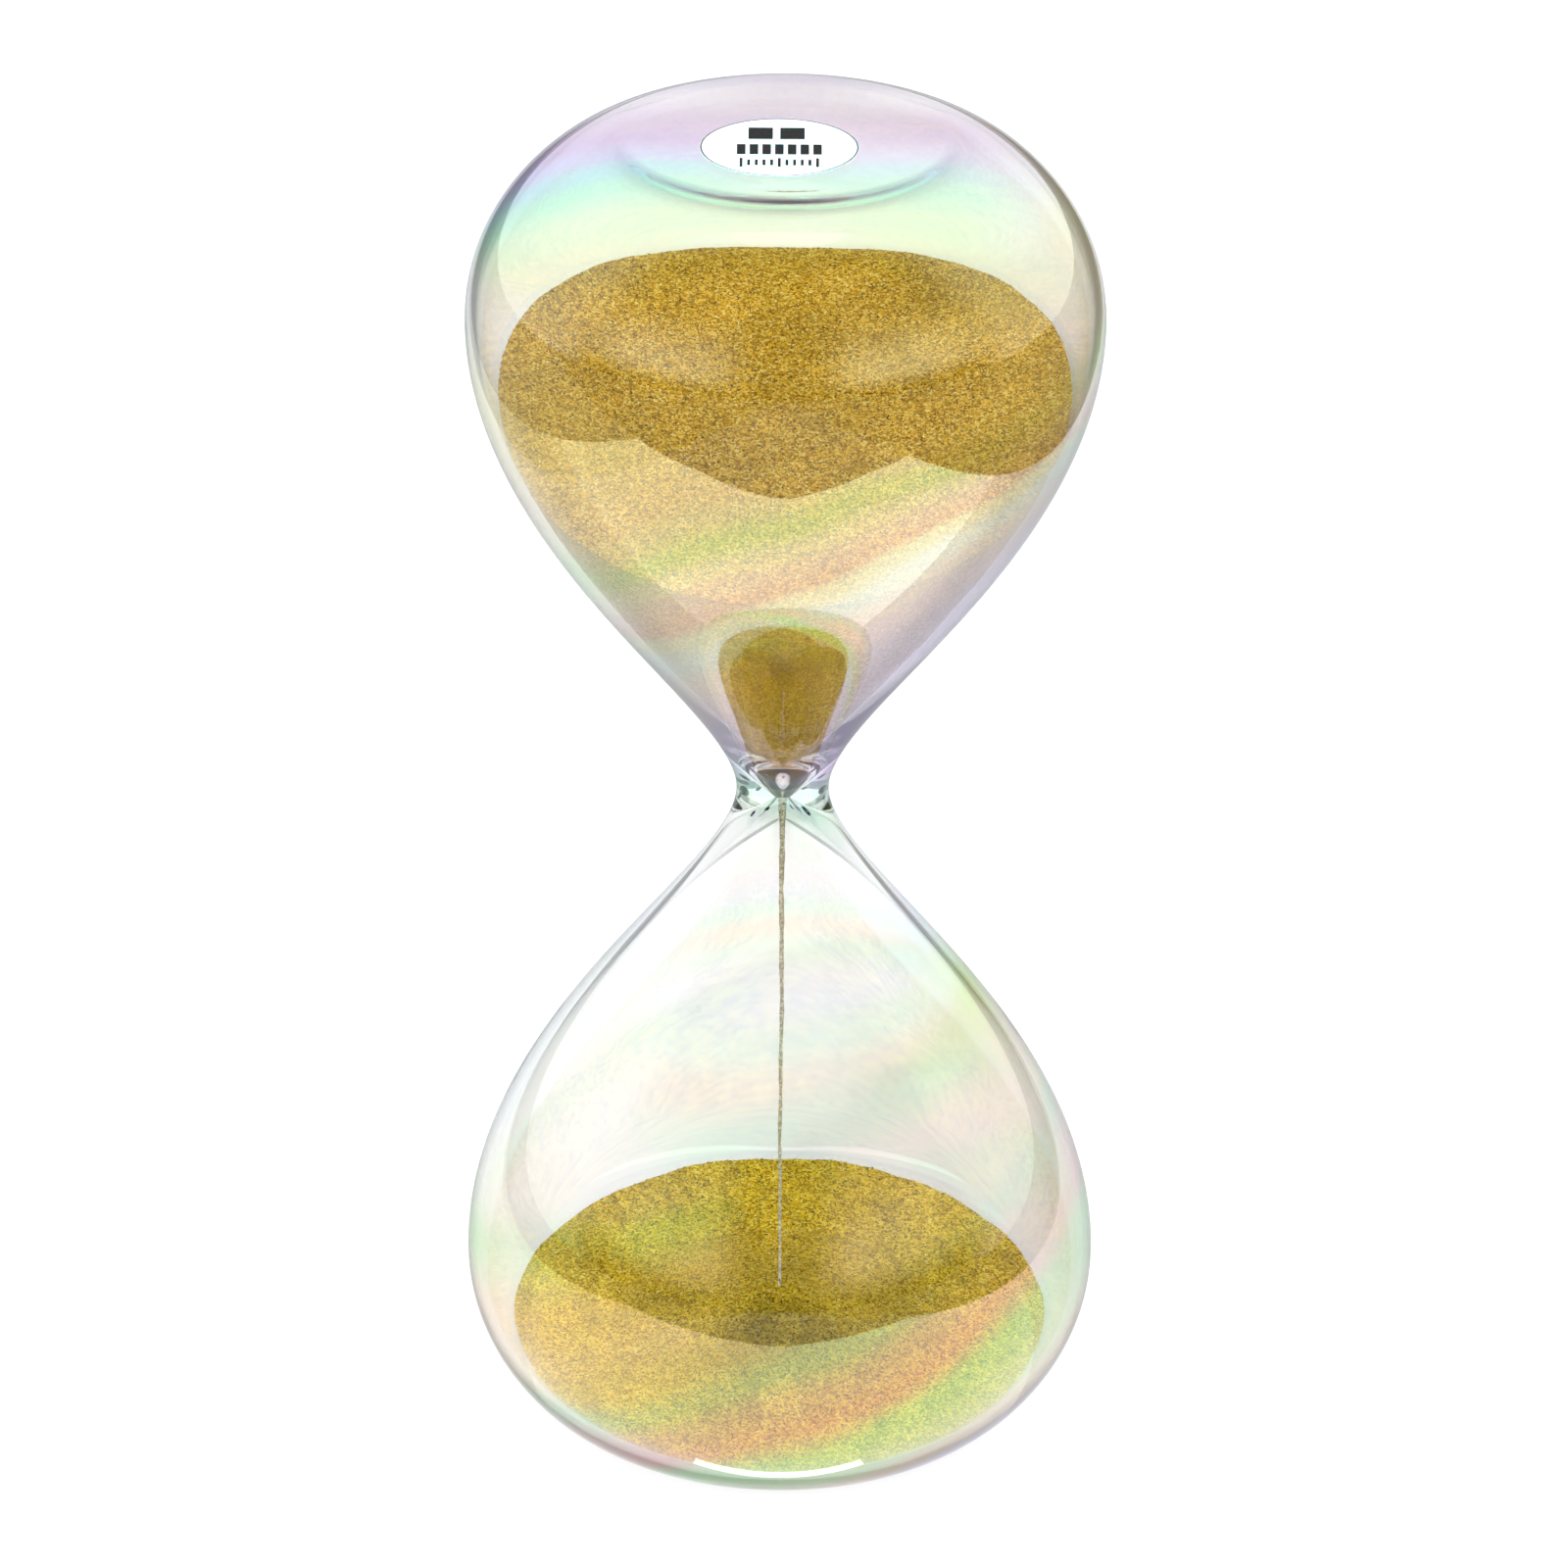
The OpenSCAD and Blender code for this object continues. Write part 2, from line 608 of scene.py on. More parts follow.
@dataclass(frozen=True)
class GrainSparkle:
    """The glitter of loose grains: each grain has its own colour and its own tilt."""

    grain: float           # size of a grain in metres
    tilt: float            # how far a grain's face leans, as a share of its normal

    @staticmethod
    def group() -> bpy.types.NodeTree:
        """The shared node group, built on first use.

        Returns:
            The node group, which puts out a shade, a glint mask, a height and a tilted normal.
        """
        found = bpy.data.node_groups.get("grain_sparkle")
        if found is not None:
            return found
        group, sheet, given, result = new_group(
            "grain_sparkle", {"Grain": 0.35 * MM, "Tilt": 0.5},
            {"Shade": "NodeSocketFloat", "Glint": "NodeSocketFloat", "Height": "NodeSocketFloat",
             "Normal": "NodeSocketVector"})
        place = sheet.place()
        cells = sheet.add("TexVoronoi", feature="F1")
        sheet.wire(place, cells.inputs["Vector"])
        sheet.wire(sheet.maths("DIVIDE", 1.0, given.outputs["Grain"]), cells.inputs["Scale"])
        dice = sheet.add("SeparateColor")
        sheet.wire(cells.outputs["Color"], dice.inputs[0])
        lean = sheet.vectors("SUBTRACT", cells.outputs["Color"], (0.5, 0.5, 0.5))
        scaled = sheet.vectors("SCALE", lean.outputs[0], given.outputs["Tilt"])
        tilted = sheet.vectors("ADD", sheet.add("NewGeometry").outputs["Normal"], scaled.outputs[0])
        straight = sheet.vectors("NORMALIZE", tilted.outputs[0])
        sheet.wire(dice.outputs[0], result.inputs["Shade"])
        sheet.wire(sheet.ranged(dice.outputs[1], 0.80, 0.95), result.inputs["Glint"])
        sheet.wire(sheet.maths("SUBTRACT", 1.0, cells.outputs["Distance"]), result.inputs["Height"])
        sheet.wire(straight.outputs[0], result.inputs["Normal"])
        return group

    def placed(self, sheet: NodeSheet) -> bpy.types.Node:
        """Places the group in a material with this sand's values.

        Args:
            sheet: The material's node sheet.

        Returns:
            The group node.
        """
        node = sheet.add("Group", node_tree=self.group())
        node.inputs["Grain"].default_value = self.grain
        node.inputs["Tilt"].default_value = self.tilt
        return node


# ---------------------------------------------------------------------------------------------------------------
# Finishes
# ---------------------------------------------------------------------------------------------------------------


def lamp_friendly(sheet: NodeSheet, shader: bpy.types.NodeSocket, through: float) -> None:
    """Lets lamps shine through a glass shader and wires it to the output.

    Args:
        sheet: The material's node sheet.
        shader: The glass as the eye meets it.
        through: How much of a lamp's light one wall lets through.
    """
    clear = sheet.add("BsdfTransparent")
    clear.inputs["Color"].default_value = (through, through, through, 1.0)
    sheet.surface(sheet.blended(sheet.add("LightPath").outputs["Is Shadow Ray"], shader, clear.outputs[0]))


@dataclass(frozen=True)
class FilmGlass:
    """Polished blown glass with an iridescent film on its outside, and painted grey shade where it turns away."""

    name: str
    tint: FilmBands            # colours that the film leaves in the light passing through
    sheen: FilmBands           # colours that the film mirrors
    rim: Colour = (0.15, 0.16, 0.17)     # painted shade: the grey that the glass turns to away from the eye, for the dark room seen in its edges
    rim_share: float = 0.45    # how much of that grey shows
    edge_share: float = 0.15   # how much more it mirrors at a glancing angle
    ripple: float = 0.02 * MM  # height of the waves that blowing leaves

    def made(self) -> bpy.types.Material:
        """Builds the material.

        Returns:
            The finished material.
        """
        material, sheet = new_material(self.name)
        place = sheet.place()
        waves = sheet.bump(sheet.noise(place, 14 * MM, 1.0), self.ripple).outputs[0]

        tint, share = self.tint.placed(sheet)
        glass = sheet.glass(sheet.mixed(share, (0.99, 0.995, 1.0, 1.0), tint), waves)

        sheen, mirrored = self.sheen.placed(sheet)
        film = sheet.add("BsdfPrincipled")
        sheet.wire(sheen, film.inputs["Base Color"])
        film.inputs["Metallic"].default_value = 1.0
        film.inputs["Roughness"].default_value = 0.03
        sheet.wire(waves, film.inputs["Normal"])

        facing = sheet.add("LayerWeight")
        facing.inputs["Blend"].default_value = 0.3
        amount = sheet.maths("MULTIPLY", facing.outputs["Facing"], self.edge_share)
        amount = sheet.maths("ADD", amount, mirrored, clamp=True)
        both = sheet.blended(amount, glass, film.outputs[0])

        # Painted shade at the edges: a mottled grey glass, mixed in where the glass turns away from the eye
        thick = tuple(0.75 * part for part in self.rim)
        painted_edge_shade = sheet.mixed(sheet.noise(place, 16 * MM, 1.0), (*self.rim, 1.0), (*thick, 1.0))
        grazing = sheet.add("LayerWeight")
        grazing.inputs["Blend"].default_value = 0.5
        turned_away = sheet.ranged(grazing.outputs["Facing"], 0.6, 0.95, 0.0, self.rim_share)
        lamp_friendly(sheet, sheet.blended(turned_away, both, sheet.glass(painted_edge_shade, waves)), 0.97)
        return material


@dataclass(frozen=True)
class PlainGlass:
    """The bare inside of the blown glass."""

    name: str = "bare_inner_glass"

    def made(self) -> bpy.types.Material:
        """Builds the material.

        Returns:
            The finished material.
        """
        material, sheet = new_material(self.name)
        place = sheet.place()
        cords = sheet.ranged(sheet.noise(place, 9 * MM, 2.0), 0.3, 0.7)
        waves = sheet.bump(sheet.noise(place, 11 * MM, 1.0), 0.02 * MM)
        glass = sheet.glass(sheet.mixed(cords, (0.985, 0.99, 0.995, 1.0), WHITE), waves.outputs[0])
        lamp_friendly(sheet, glass, 0.99)
        return material


@dataclass(frozen=True)
class FusedFace:
    """The flame-fused face between two pieces of glass, which light passes without bending."""

    name: str = "fused_face"

    def made(self) -> bpy.types.Material:
        """Builds the material.

        Returns:
            The finished material.
        """
        material, sheet = new_material(self.name)
        clear = sheet.add("BsdfTransparent")
        place = sheet.place()
        sheet.wire(sheet.mixed(sheet.noise(place, 5 * MM), (0.995, 1.0, 1.0, 1.0), WHITE), clear.inputs["Color"])
        sheet.surface(clear.outputs[0])
        return material


@dataclass(frozen=True)
class PaintedDarkBubble:
    """The wall of a bubble trapped in thick glass: its dark clouded metal colour is painted reflection of a dark
    room.
    """

    name: str = "smoky_bubble"

    def made(self) -> bpy.types.Material:
        """Builds the material.

        Returns:
            The finished material.
        """
        material, sheet = new_material(self.name)
        place = sheet.place()
        shader = sheet.add("BsdfPrincipled")
        clouds = sheet.ranged(sheet.noise(place, 0.6 * MM, 2.0), 0.35, 0.65)
        # Painted reflection: a dark, clouded metal colour standing in for the dark room mirrored in the bubble
        sheet.wire(sheet.mixed(clouds, (0.05, 0.05, 0.08, 1.0), (0.42, 0.45, 0.52, 1.0)),
                   shader.inputs["Base Color"])
        shader.inputs["Metallic"].default_value = 1.0
        sheet.wire(sheet.ranged(clouds, 0.0, 1.0, 0.1, 0.25), shader.inputs["Roughness"])
        sheet.surface(shader.outputs[0])
        return material


@dataclass(frozen=True)
class GoldSand:
    """Gold glitter sand: dark, gold and pale grains that each catch the light their own way."""

    name: str
    dark: Colour = (0.24, 0.12, 0.006)
    gold: Colour = (0.84, 0.50, 0.03)
    pale: Colour = (1.0, 0.85, 0.28)
    grain: float = 0.30 * MM
    tilt: float = 0.9
    patch: float = 0.0                 # radius of a patch of painted shade in front of the axis, on the front of the heap
    patch_front: float = 9 * MM        # how far in front of the axis the patch lies
    patch_shade: float = 0.62          # its brightness in its middle

    def made(self) -> bpy.types.Material:
        """Builds the material.

        Returns:
            The finished material.
        """
        material, sheet = new_material(self.name)
        place = sheet.place()
        sparkle = GrainSparkle(self.grain, self.tilt).placed(sheet)
        stops = ((0.0, self.dark, 1.0), (0.35, tuple(0.6 * part for part in self.gold), 1.0),
                 (0.65, self.gold, 1.0), (0.9, tuple(0.5 * (a + b) for a, b in zip(self.gold, self.pale)), 1.0),
                 (1.0, self.pale, 1.0))
        colour = sheet.ramp(sparkle.outputs["Shade"], stops, "LINEAR").outputs["Color"]
        drift = sheet.ranged(sheet.noise(place, 12 * MM, 3.0), 0.3, 0.7, 0.85, 1.1)
        # Painted shade: the sand darkens in a patch in front of the axis, where the front of the heap is in shade
        if self.patch:
            flat = sheet.vectors("MULTIPLY", place, (0.75, 1.0, 0.0))
            away = sheet.vectors("DISTANCE", flat.outputs[0], (0.0, -self.patch_front, 0.0))
            shade = sheet.ranged(away.outputs["Value"], 0.2 * self.patch, self.patch, self.patch_shade, 1.0)
            drift = sheet.maths("MULTIPLY", drift, shade)
        tone = sheet.vectors("SCALE", colour, drift)
        shader = sheet.add("BsdfPrincipled")
        sheet.wire(tone.outputs[0], shader.inputs["Base Color"])
        sheet.wire(sheet.maths("MULTIPLY", sparkle.outputs["Glint"], 0.9), shader.inputs["Metallic"])
        sheet.wire(sheet.ranged(sparkle.outputs["Glint"], 0.0, 1.0, 0.55, 0.22), shader.inputs["Roughness"])
        lumps = sheet.bump(sparkle.outputs["Height"], 0.5 * self.grain)
        sheet.wire(sparkle.outputs["Normal"], lumps.inputs["Normal"])
        sheet.wire(lumps.outputs[0], shader.inputs["Normal"])
        sheet.surface(shader.outputs[0])
        return material


@dataclass(frozen=True)
class MouldedFinish:
    """A soft-sheened moulded or cured material, with faint mottling and a fine surface grain."""

    name: str
    colour: Colour
    roughness: float
    mottle: float = 0.06
    texture: float = 0.15 * MM
    shine: float = 0.5                 # strength of its clear reflection
    depth: float = 0.0                 # how far light wanders inside it

    def made(self) -> bpy.types.Material:
        """Builds the material.

        Returns:
            The finished material.
        """
        material, sheet = new_material(self.name)
        place = sheet.place()
        patches = sheet.noise(place, 8 * self.texture, 3.0)
        darker = tuple(part * (1 - self.mottle) for part in self.colour)
        shader = sheet.add("BsdfPrincipled")
        sheet.wire(sheet.mixed(patches, (*self.colour, 1.0), (*darker, 1.0)), shader.inputs["Base Color"])
        sheet.wire(sheet.ranged(patches, 0.2, 0.8, self.roughness, self.roughness + 0.1),
                   shader.inputs["Roughness"])
        shader.inputs["Specular IOR Level"].default_value = self.shine
        if self.depth:
            shader.inputs["Subsurface Weight"].default_value = 1.0
            shader.inputs["Subsurface Scale"].default_value = self.depth
        grain = sheet.bump(sheet.noise(place, self.texture, 2.0), 0.1 * self.texture, 0.4)
        sheet.wire(grain.outputs[0], shader.inputs["Normal"])
        sheet.surface(shader.outputs[0])
        return material


# ---------------------------------------------------------------------------------------------------------------
# The glass outline, shared by the glass and the sand that fills it
# ---------------------------------------------------------------------------------------------------------------


@dataclass(frozen=True)
class GlassOutline:
    """Section of one half of the glass, measured up from the middle of the waist.

    The outside is two curves: the shoulder, from the flat end to the widest circle, and the flank, from there
    down to the waist. The inside is the outside moved in by the wall, which thickens at both ends.
    """

    mid: float                         # from the middle of the waist to a standing face
    bulb_r: float                      # radius of the widest circle
    joint_h: float                     # the waist piece reaches this far from the middle
    orifice_r: float                   # radius of the bore through the waist
    waist_r: float = 6.5 * MM
    widest_h: float = 27 * MM          # widest circle above its own standing face
    foot_r: float = 22.5 * MM
    foot_pull: float = 7.4 * MM
    shoulder_pull: float = 16.8 * MM
    flank_pull: float = 31.7 * MM
    waist_pull: float = 12.75 * MM
    wall: float = 1.6 * MM
    end_wall: float = 2.4 * MM
    recess_d: float = 0.2 * MM         # depth of the hollow in a flat end
    dish_r: float = 15.2 * MM          # the hollow is level up to here, then rises gently to the standing ring
    ring_r: float = 21.8 * MM
    dish_steps: int = 8
    sand_gap: float = 0.3 * MM
    shoulder_steps: int = 26
    flank_steps: int = 64
    seam_strip: float = 0.1 * MM       # a last narrow strip at the joint, so that both pieces curve alike there

    @property
    def widest(self) -> float:
        """Height of the widest circle above the middle of the waist."""
        return self.mid - self.widest_h

    @property
    def shoulder(self) -> tuple[Vector, ...]:
        """Control points of the shoulder."""
        return (Vector((self.foot_r, self.mid)), Vector((self.foot_r + self.foot_pull, self.mid)),
                Vector((self.bulb_r, self.widest + self.shoulder_pull)), Vector((self.bulb_r, self.widest)))

    @property
    def flank(self) -> tuple[Vector, ...]:
        """Control points of the flank."""
        return (Vector((self.bulb_r, self.widest)), Vector((self.bulb_r, self.widest - self.flank_pull)),
                Vector((self.waist_r, self.waist_pull)), Vector((self.waist_r, 0.0)))

    @staticmethod
    def curve(points: tuple[Vector, ...], t: float) -> Vector:
        """A point of a cubic curve.

        Args:
            points: Its four control points.
            t: The place along it, from 0 to 1.

        Returns:
            The point, as radius and height.
        """
        s = 1 - t
        return s**3 * points[0] + 3 * s * s * t * points[1] + 3 * s * t * t * points[2] + t**3 * points[3]

    @staticmethod
    def inward(points: tuple[Vector, ...], t: float, depth: float) -> Vector:
        """A point of a cubic curve moved square to it, towards the inside of the glass.

        Args:
            points: The curve's four control points.
            t: The place along it, from 0 to 1.
            depth: How far the point moves.

        Returns:
            The moved point, as radius and height.
        """
        s = 1 - t
        slope = (s * s * (points[1] - points[0]) + 2 * s * t * (points[2] - points[1])
                 + t * t * (points[3] - points[2])).normalized()
        return GlassOutline.curve(points, t) + depth * Vector((slope.y, -slope.x))

    def shoulder_wall(self, t: float) -> float:
        """Thickness of the glass along the shoulder."""
        return self.wall + (self.end_wall - self.wall) * (1 - t) ** 2

    def flank_wall(self, t: float) -> float:
        """Thickness of the glass along the flank."""
        return self.wall + (self.waist_r - self.orifice_r - self.wall) * t**9

    def along_flank(self, height: float, depth: Callable[[float], float]) -> float:
        """Where the flank, moved in by a depth, passes a height.

        Args:
            height: The height above the middle of the waist.
            depth: The inward move at each place along the flank.

        Returns:
            The place along the flank, from 0 to 1.
        """
        low, high = 0.0, 1.0
        for _ in range(40):
            middle = (low + high) / 2
            if self.inward(self.flank, middle, depth(middle)).y > height:
                low = middle
            else:
                high = middle
        return low

    def outside(self, height: float) -> Outline:
        """The outer outline from the foot down to a height above the waist."""
        return self._side(height, lambda t: 0.0, lambda t: 0.0)

    def inside(self, height: float, gap: float = 0.0) -> Outline:
        """The inner outline from the flat end down to a height, less a gap."""
        return self._side(height, lambda t: self.shoulder_wall(t) + gap, lambda t: self.flank_wall(t) + gap)

    def _side(self, height: float, on_shoulder: Callable[[float], float],
              on_flank: Callable[[float], float]) -> Outline:
        """The shoulder and the flank down to a height, moved in by a depth that changes along them.

        Args:
            height: The height above the middle of the waist where it ends.
            on_shoulder: The depth along the shoulder.
            on_flank: The depth along the flank.

        Returns:
            The points from the flat end down.
        """
        shoulder = [i / self.shoulder_steps for i in range(self.shoulder_steps)]
        points = [self.inward(self.shoulder, t, on_shoulder(t)) for t in shoulder]
        end = self.along_flank(height, on_flank)
        strip = self.along_flank(height + self.seam_strip, on_flank)
        flank = [strip * i / self.flank_steps for i in range(self.flank_steps + 1)] + [end]
        points += [self.inward(self.flank, t, on_flank(t)) for t in flank]
        return [(point.x, point.y) for point in points]

    def flat_end(self, from_radius: float) -> Outline:
        """The hollowed flat end, from a radius out to the standing ring, with a gentle rise between them."""
        floor = self.mid - self.recess_d
        width = self.ring_r + 0.2 * MM - self.dish_r
        points = [(from_radius, floor), (self.dish_r, floor)]
        for step in range(1, self.dish_steps + 1):
            share = step / self.dish_steps
            rise = share + 0.1 * math.sin(math.tau * share) / math.pi - 0.1 * share * (1 - share)
            points.append((self.dish_r + share * width, floor + self.recess_d * rise))
        return points

    def inner_end(self, from_radius: float) -> Outline:
        """The flat inside of the end wall, from where the shoulder starts in to a radius."""
        height = self.mid - self.end_wall
        return [(self.foot_r * share, height) for share in (0.66, 0.33) if self.foot_r * share > from_radius] + [
            (from_radius, height)]


def at_half(outline: Outline, half: Half, middle: float) -> Outline:
    """Places an outline on its half of the timer.

    Args:
        outline: Points as radius and height above the middle of the waist.
        half: The half that it belongs to.
        middle: The height of the middle of the waist.

    Returns:
        The points as radius and height above the standing face.
    """
    return [(radius, middle + half.value * height) for radius, height in outline]


# ---------------------------------------------------------------------------------------------------------------
# Sub-assemblies
# ---------------------------------------------------------------------------------------------------------------


# The film's colours in passing light, and painted shade, by place in mm: over the top from back to front, and down
# the lower front
UPPER_TINT: Row = (
    # The two grey stops are painted shade along the back rim of the top, not film colour
    (-130, (0.30, 0.28, 0.32), 0.9),
    (-122, (0.50, 0.46, 0.56), 0.8),
    (-114, (0.80, 0.74, 0.88), 0.6),
    (-103, (0.54, 0.36, 0.70), 0.8),
    (-97, (0.50, 0.36, 0.76), 0.95),
    (-91, (0.44, 0.54, 0.96), 0.95),
    (-86, (0.26, 0.82, 0.84), 0.95),
    (-80, (0.26, 0.98, 0.56), 0.95),
    (-71, (0.50, 0.96, 0.40), 0.85),
    (-62, (0.74, 0.88, 0.36), 0.8),
    (-53, (0.84, 0.84, 0.44), 0.6),
    (-45, (1.0, 1.0, 1.0), 0.0),
)
LOWER_TINT: Row = (
    (-46, (0.9, 1.0, 0.9), 0.1),
    (-38, (0.62, 0.95, 0.70), 0.6),
    (-33, (0.80, 0.66, 0.40), 0.5),
    (-28.5, (0.52, 0.92, 0.72), 0.6),
    (-24, (0.66, 0.80, 1.0), 0.6),
    (-20, (0.84, 0.80, 1.0), 0.6),
    (-13, (1.0, 1.0, 1.0), 0.0),
)
WAIST_TINT: Row = (
    (-9, (1.0, 1.0, 1.0), 0.1),
    (-3.5, (0.80, 0.94, 0.86), 0.5),
    (-1, (0.62, 0.90, 0.72), 0.7),
    (1.5, (0.46, 0.84, 0.84), 0.7),
    (4.5, (0.72, 0.60, 0.95), 0.7),
    (9, (0.84, 0.56, 0.96), 0.8),
)
# The film's mirrored colours and how much it mirrors, by place in mm up the glass
UPPER_SHEEN: Row = (
    (0, (0.80, 0.66, 0.95), 0.35),
    (12, (0.84, 0.72, 0.95), 0.46),
    (21, (0.88, 0.78, 0.92), 0.56),
    (27, (0.94, 0.80, 0.82), 0.62),
    (32, (0.95, 0.85, 0.76), 0.62),
    (38, (0.86, 0.93, 0.84), 0.60),
    (43, (0.90, 0.92, 0.68), 0.50),
    (46, (0.88, 0.66, 0.56), 0.36),
    (49.5, (0.88, 0.74, 0.62), 0.34),
    (52.5, (0.88, 0.90, 0.62), 0.29),
    (57, (0.58, 0.88, 0.38), 0.25),
    (62, (0.86, 0.88, 0.52), 0.20),
    (66, (0.95, 0.82, 0.50), 0.18),
    (80, (1.0, 0.95, 0.42), 0.19),
    (90, (1.0, 1.0, 0.90), 0.06),
    (98, (0.90, 0.80, 1.0), 0.05),
)
LOWER_SHEEN: Row = (
    (-104, (0.55, 0.48, 0.75), 0.30),
    (-99, (0.75, 0.60, 0.42), 0.32),
    (-94, (0.55, 0.78, 0.42), 0.32),
    (-87, (0.40, 0.80, 0.36), 0.30),
    (-81, (0.80, 0.36, 0.34), 0.26),
    (-76, (0.72, 0.45, 0.38), 0.24),
    (-70, (0.36, 0.62, 0.32), 0.24),
    (-64, (0.75, 0.60, 0.24), 0.20),
    (-58, (0.82, 0.58, 0.32), 0.20),
    (-52, (0.90, 0.58, 0.22), 0.17),
    (-43, (0.45, 0.95, 0.16), 0.20),
    (-36, (1.0, 0.95, 0.60), 0.06),
    (-28, (0.80, 1.0, 0.95), 0.03),
    (0, (1.0, 1.0, 1.0), 0.04),
)
WAIST_SHEEN: Row = (
    (-9, (1.0, 1.0, 1.0), 0.06),
    (0, (0.70, 1.0, 0.75), 0.10),
    (9, (0.85, 0.66, 1.0), 0.22),
)


@dataclass
class BlownGlass:
    """The three fused pieces of glass: two bulbs and the thick waist with its bubbles."""

    outline: GlassOutline
    hole_r: float                       # radius of the filling hole
    seal_r: float                       # radius of the sealant's countersink
    seal_depth: float
    bubble_steps: int = 16
    wall_faces: int = 0                 # how many of the waist's faces are its wall, before the bubbles' faces
    sharpest: float = 6.5               # degrees; the edges of the filling hole stay sharp, so that flats stay flat

    def built(self) -> None:
        """Builds, dresses and fixes the three pieces."""
        bare = PlainGlass().made()
        fused = FusedFace().made()
        middle = self.outline.mid
        upper_film = FilmGlass(
            "upper_film_glass",
            tint=FilmBands(middle, UPPER_TINT, per_height=-1.0, per_front=1.0, wander=5 * MM, low=76 * MM,
                           right=44 * MM),
            sheen=FilmBands(middle, UPPER_SHEEN, per_side=-1.028, twist=9.8, wander=11 * MM))
        lower_film = FilmGlass(
            "lower_film_glass",
            tint=FilmBands(middle, LOWER_TINT, per_side=-0.1, wander=4 * MM, left=-30 * MM),
            sheen=FilmBands(middle, LOWER_SHEEN, per_side=-0.52, wander=11 * MM))
        waist_film = FilmGlass(
            "waist_film_glass",
            tint=FilmBands(middle, WAIST_TINT, per_side=0.3, wander=4 * MM),
            sheen=FilmBands(middle, WAIST_SHEEN, per_side=0.3, wander=5 * MM),
            ripple=0.05 * MM)
        finishes = {Half.UPPER: upper_film, Half.LOWER: lower_film}
        for half, piece in ((Half.UPPER, self.upper_bulb()), (Half.LOWER, self.lower_bulb())):
            self.dressed(piece, (finishes[half].made(), bare, fused))
            finished(piece, "bulb_glass", piece.name.replace("_glass", ""))
        waist = self.waist()
        self.dressed(waist, (waist_film.made(), bare, fused, PaintedDarkBubble().made()))
        finished(waist, "waist_glass", "waist")

    def bulb_section(self, inner_radius: float) -> Outline:
        """The section of a bulb, out along its flat end, down its outside and back up its inside."""
        line = self.outline
        return (line.flat_end(inner_radius) + line.outside(line.joint_h)
                + list(reversed(line.inside(line.joint_h))) + line.inner_end(inner_radius))

    def upper_bulb(self) -> bpy.types.Object:
        """The upper bulb, with its countersunk filling hole."""
        floor = self.outline.mid - self.outline.recess_d
        section = [(self.hole_r, floor - self.seal_depth)] + self.bulb_section(self.seal_r)
        section[-1] = (self.hole_r, self.outline.mid - self.outline.end_wall)
        return turned("upper_bulb_glass", at_half(section, Half.UPPER, self.outline.mid), closed=True)

    def lower_bulb(self) -> bpy.types.Object:
        """The lower bulb, closed at its flat end."""
        section = at_half(self.bulb_section(0.0), Half.LOWER, self.outline.mid)
        return turned("lower_bulb_glass", section, closed=False)

    def waist(self) -> bpy.types.Object:
        """The thick waist, with the orifice through it and bubbles trapped in its wall."""
        line = self.outline
        outer = line.outside(0.0)
        inner = line.inside(0.0)
        keep = [point for point in outer if point[1] < line.joint_h]
        rim = line.outside(line.joint_h)[-1]
        outer_half = [rim] + [point for point in keep if point[1] > 0.2 * MM]
        inner_rim = line.inside(line.joint_h)[-1]
        inner_half = [inner_rim] + [point for point in inner if 0.2 * MM < point[1] < line.joint_h]
        belly = [(line.waist_r, 0.0)]
        throat = [(line.orifice_r, 0.0)]
        section = (outer_half + belly + [(r, -z) for r, z in reversed(outer_half)]
                   + [(r, -z) for r, z in inner_half] + throat + list(reversed(inner_half)))
        waist = turned("waist_glass", [(r, line.mid + z) for r, z in section], closed=True)
        self.wall_faces = len(waist.data.polygons)
        joined(waist, [self.bubble(*shape) for shape in self.bubble_shapes()])
        return named("waist_glass")

    def bubble_shapes(self) -> Iterable[tuple[Vector, Vector, float]]:
        """Each trapped bubble's centre, its half sizes and its lean in degrees.

        Returns:
            The bubbles, round and drawn-out ones.
        """
        rows = (
            ((-4.5, -1.6, 0.5), (0.85, 0.5, 0.95), 12.0),
            ((4.6, -1.4, 0.7), (0.80, 0.5, 0.65), -50.0),
            ((-5.2, -1.0, -0.9), (0.25, 0.25, 0.75), 35.0),
            ((4.9, -1.2, -0.9), (0.30, 0.25, 0.40), 20.0),
            ((-4.4, -2.2, 3.4), (0.90, 0.35, 0.35), 20.0),
            ((4.5, -2.4, 3.7), (0.75, 0.3, 0.22), -25.0),
            ((-2.9, -3.6, 1.9), (0.22, 0.22, 0.55), 40.0),
            ((2.6, -3.8, 2.2), (0.42, 0.22, 0.22), -15.0),
            ((0.2, -4.6, -0.2), (0.34, 0.24, 0.22), 10.0),
            ((2.9, -3.5, -1.9), (0.22, 0.22, 1.05), -34.0),
            ((-1.9, -4.2, -1.3), (0.18, 0.18, 0.45), 45.0),
            ((-3.6, -3.2, -2.6), (0.16, 0.16, 0.60), 30.0),
            ((-2.1, 4.2, 1.4), (0.4, 0.3, 0.5), 15.0),
            ((2.6, 3.9, -1.2), (0.35, 0.3, 0.7), -20.0),
        )
        for centre, sizes, lean in rows:
            yield Vector(centre) * MM, Vector(sizes) * MM, lean

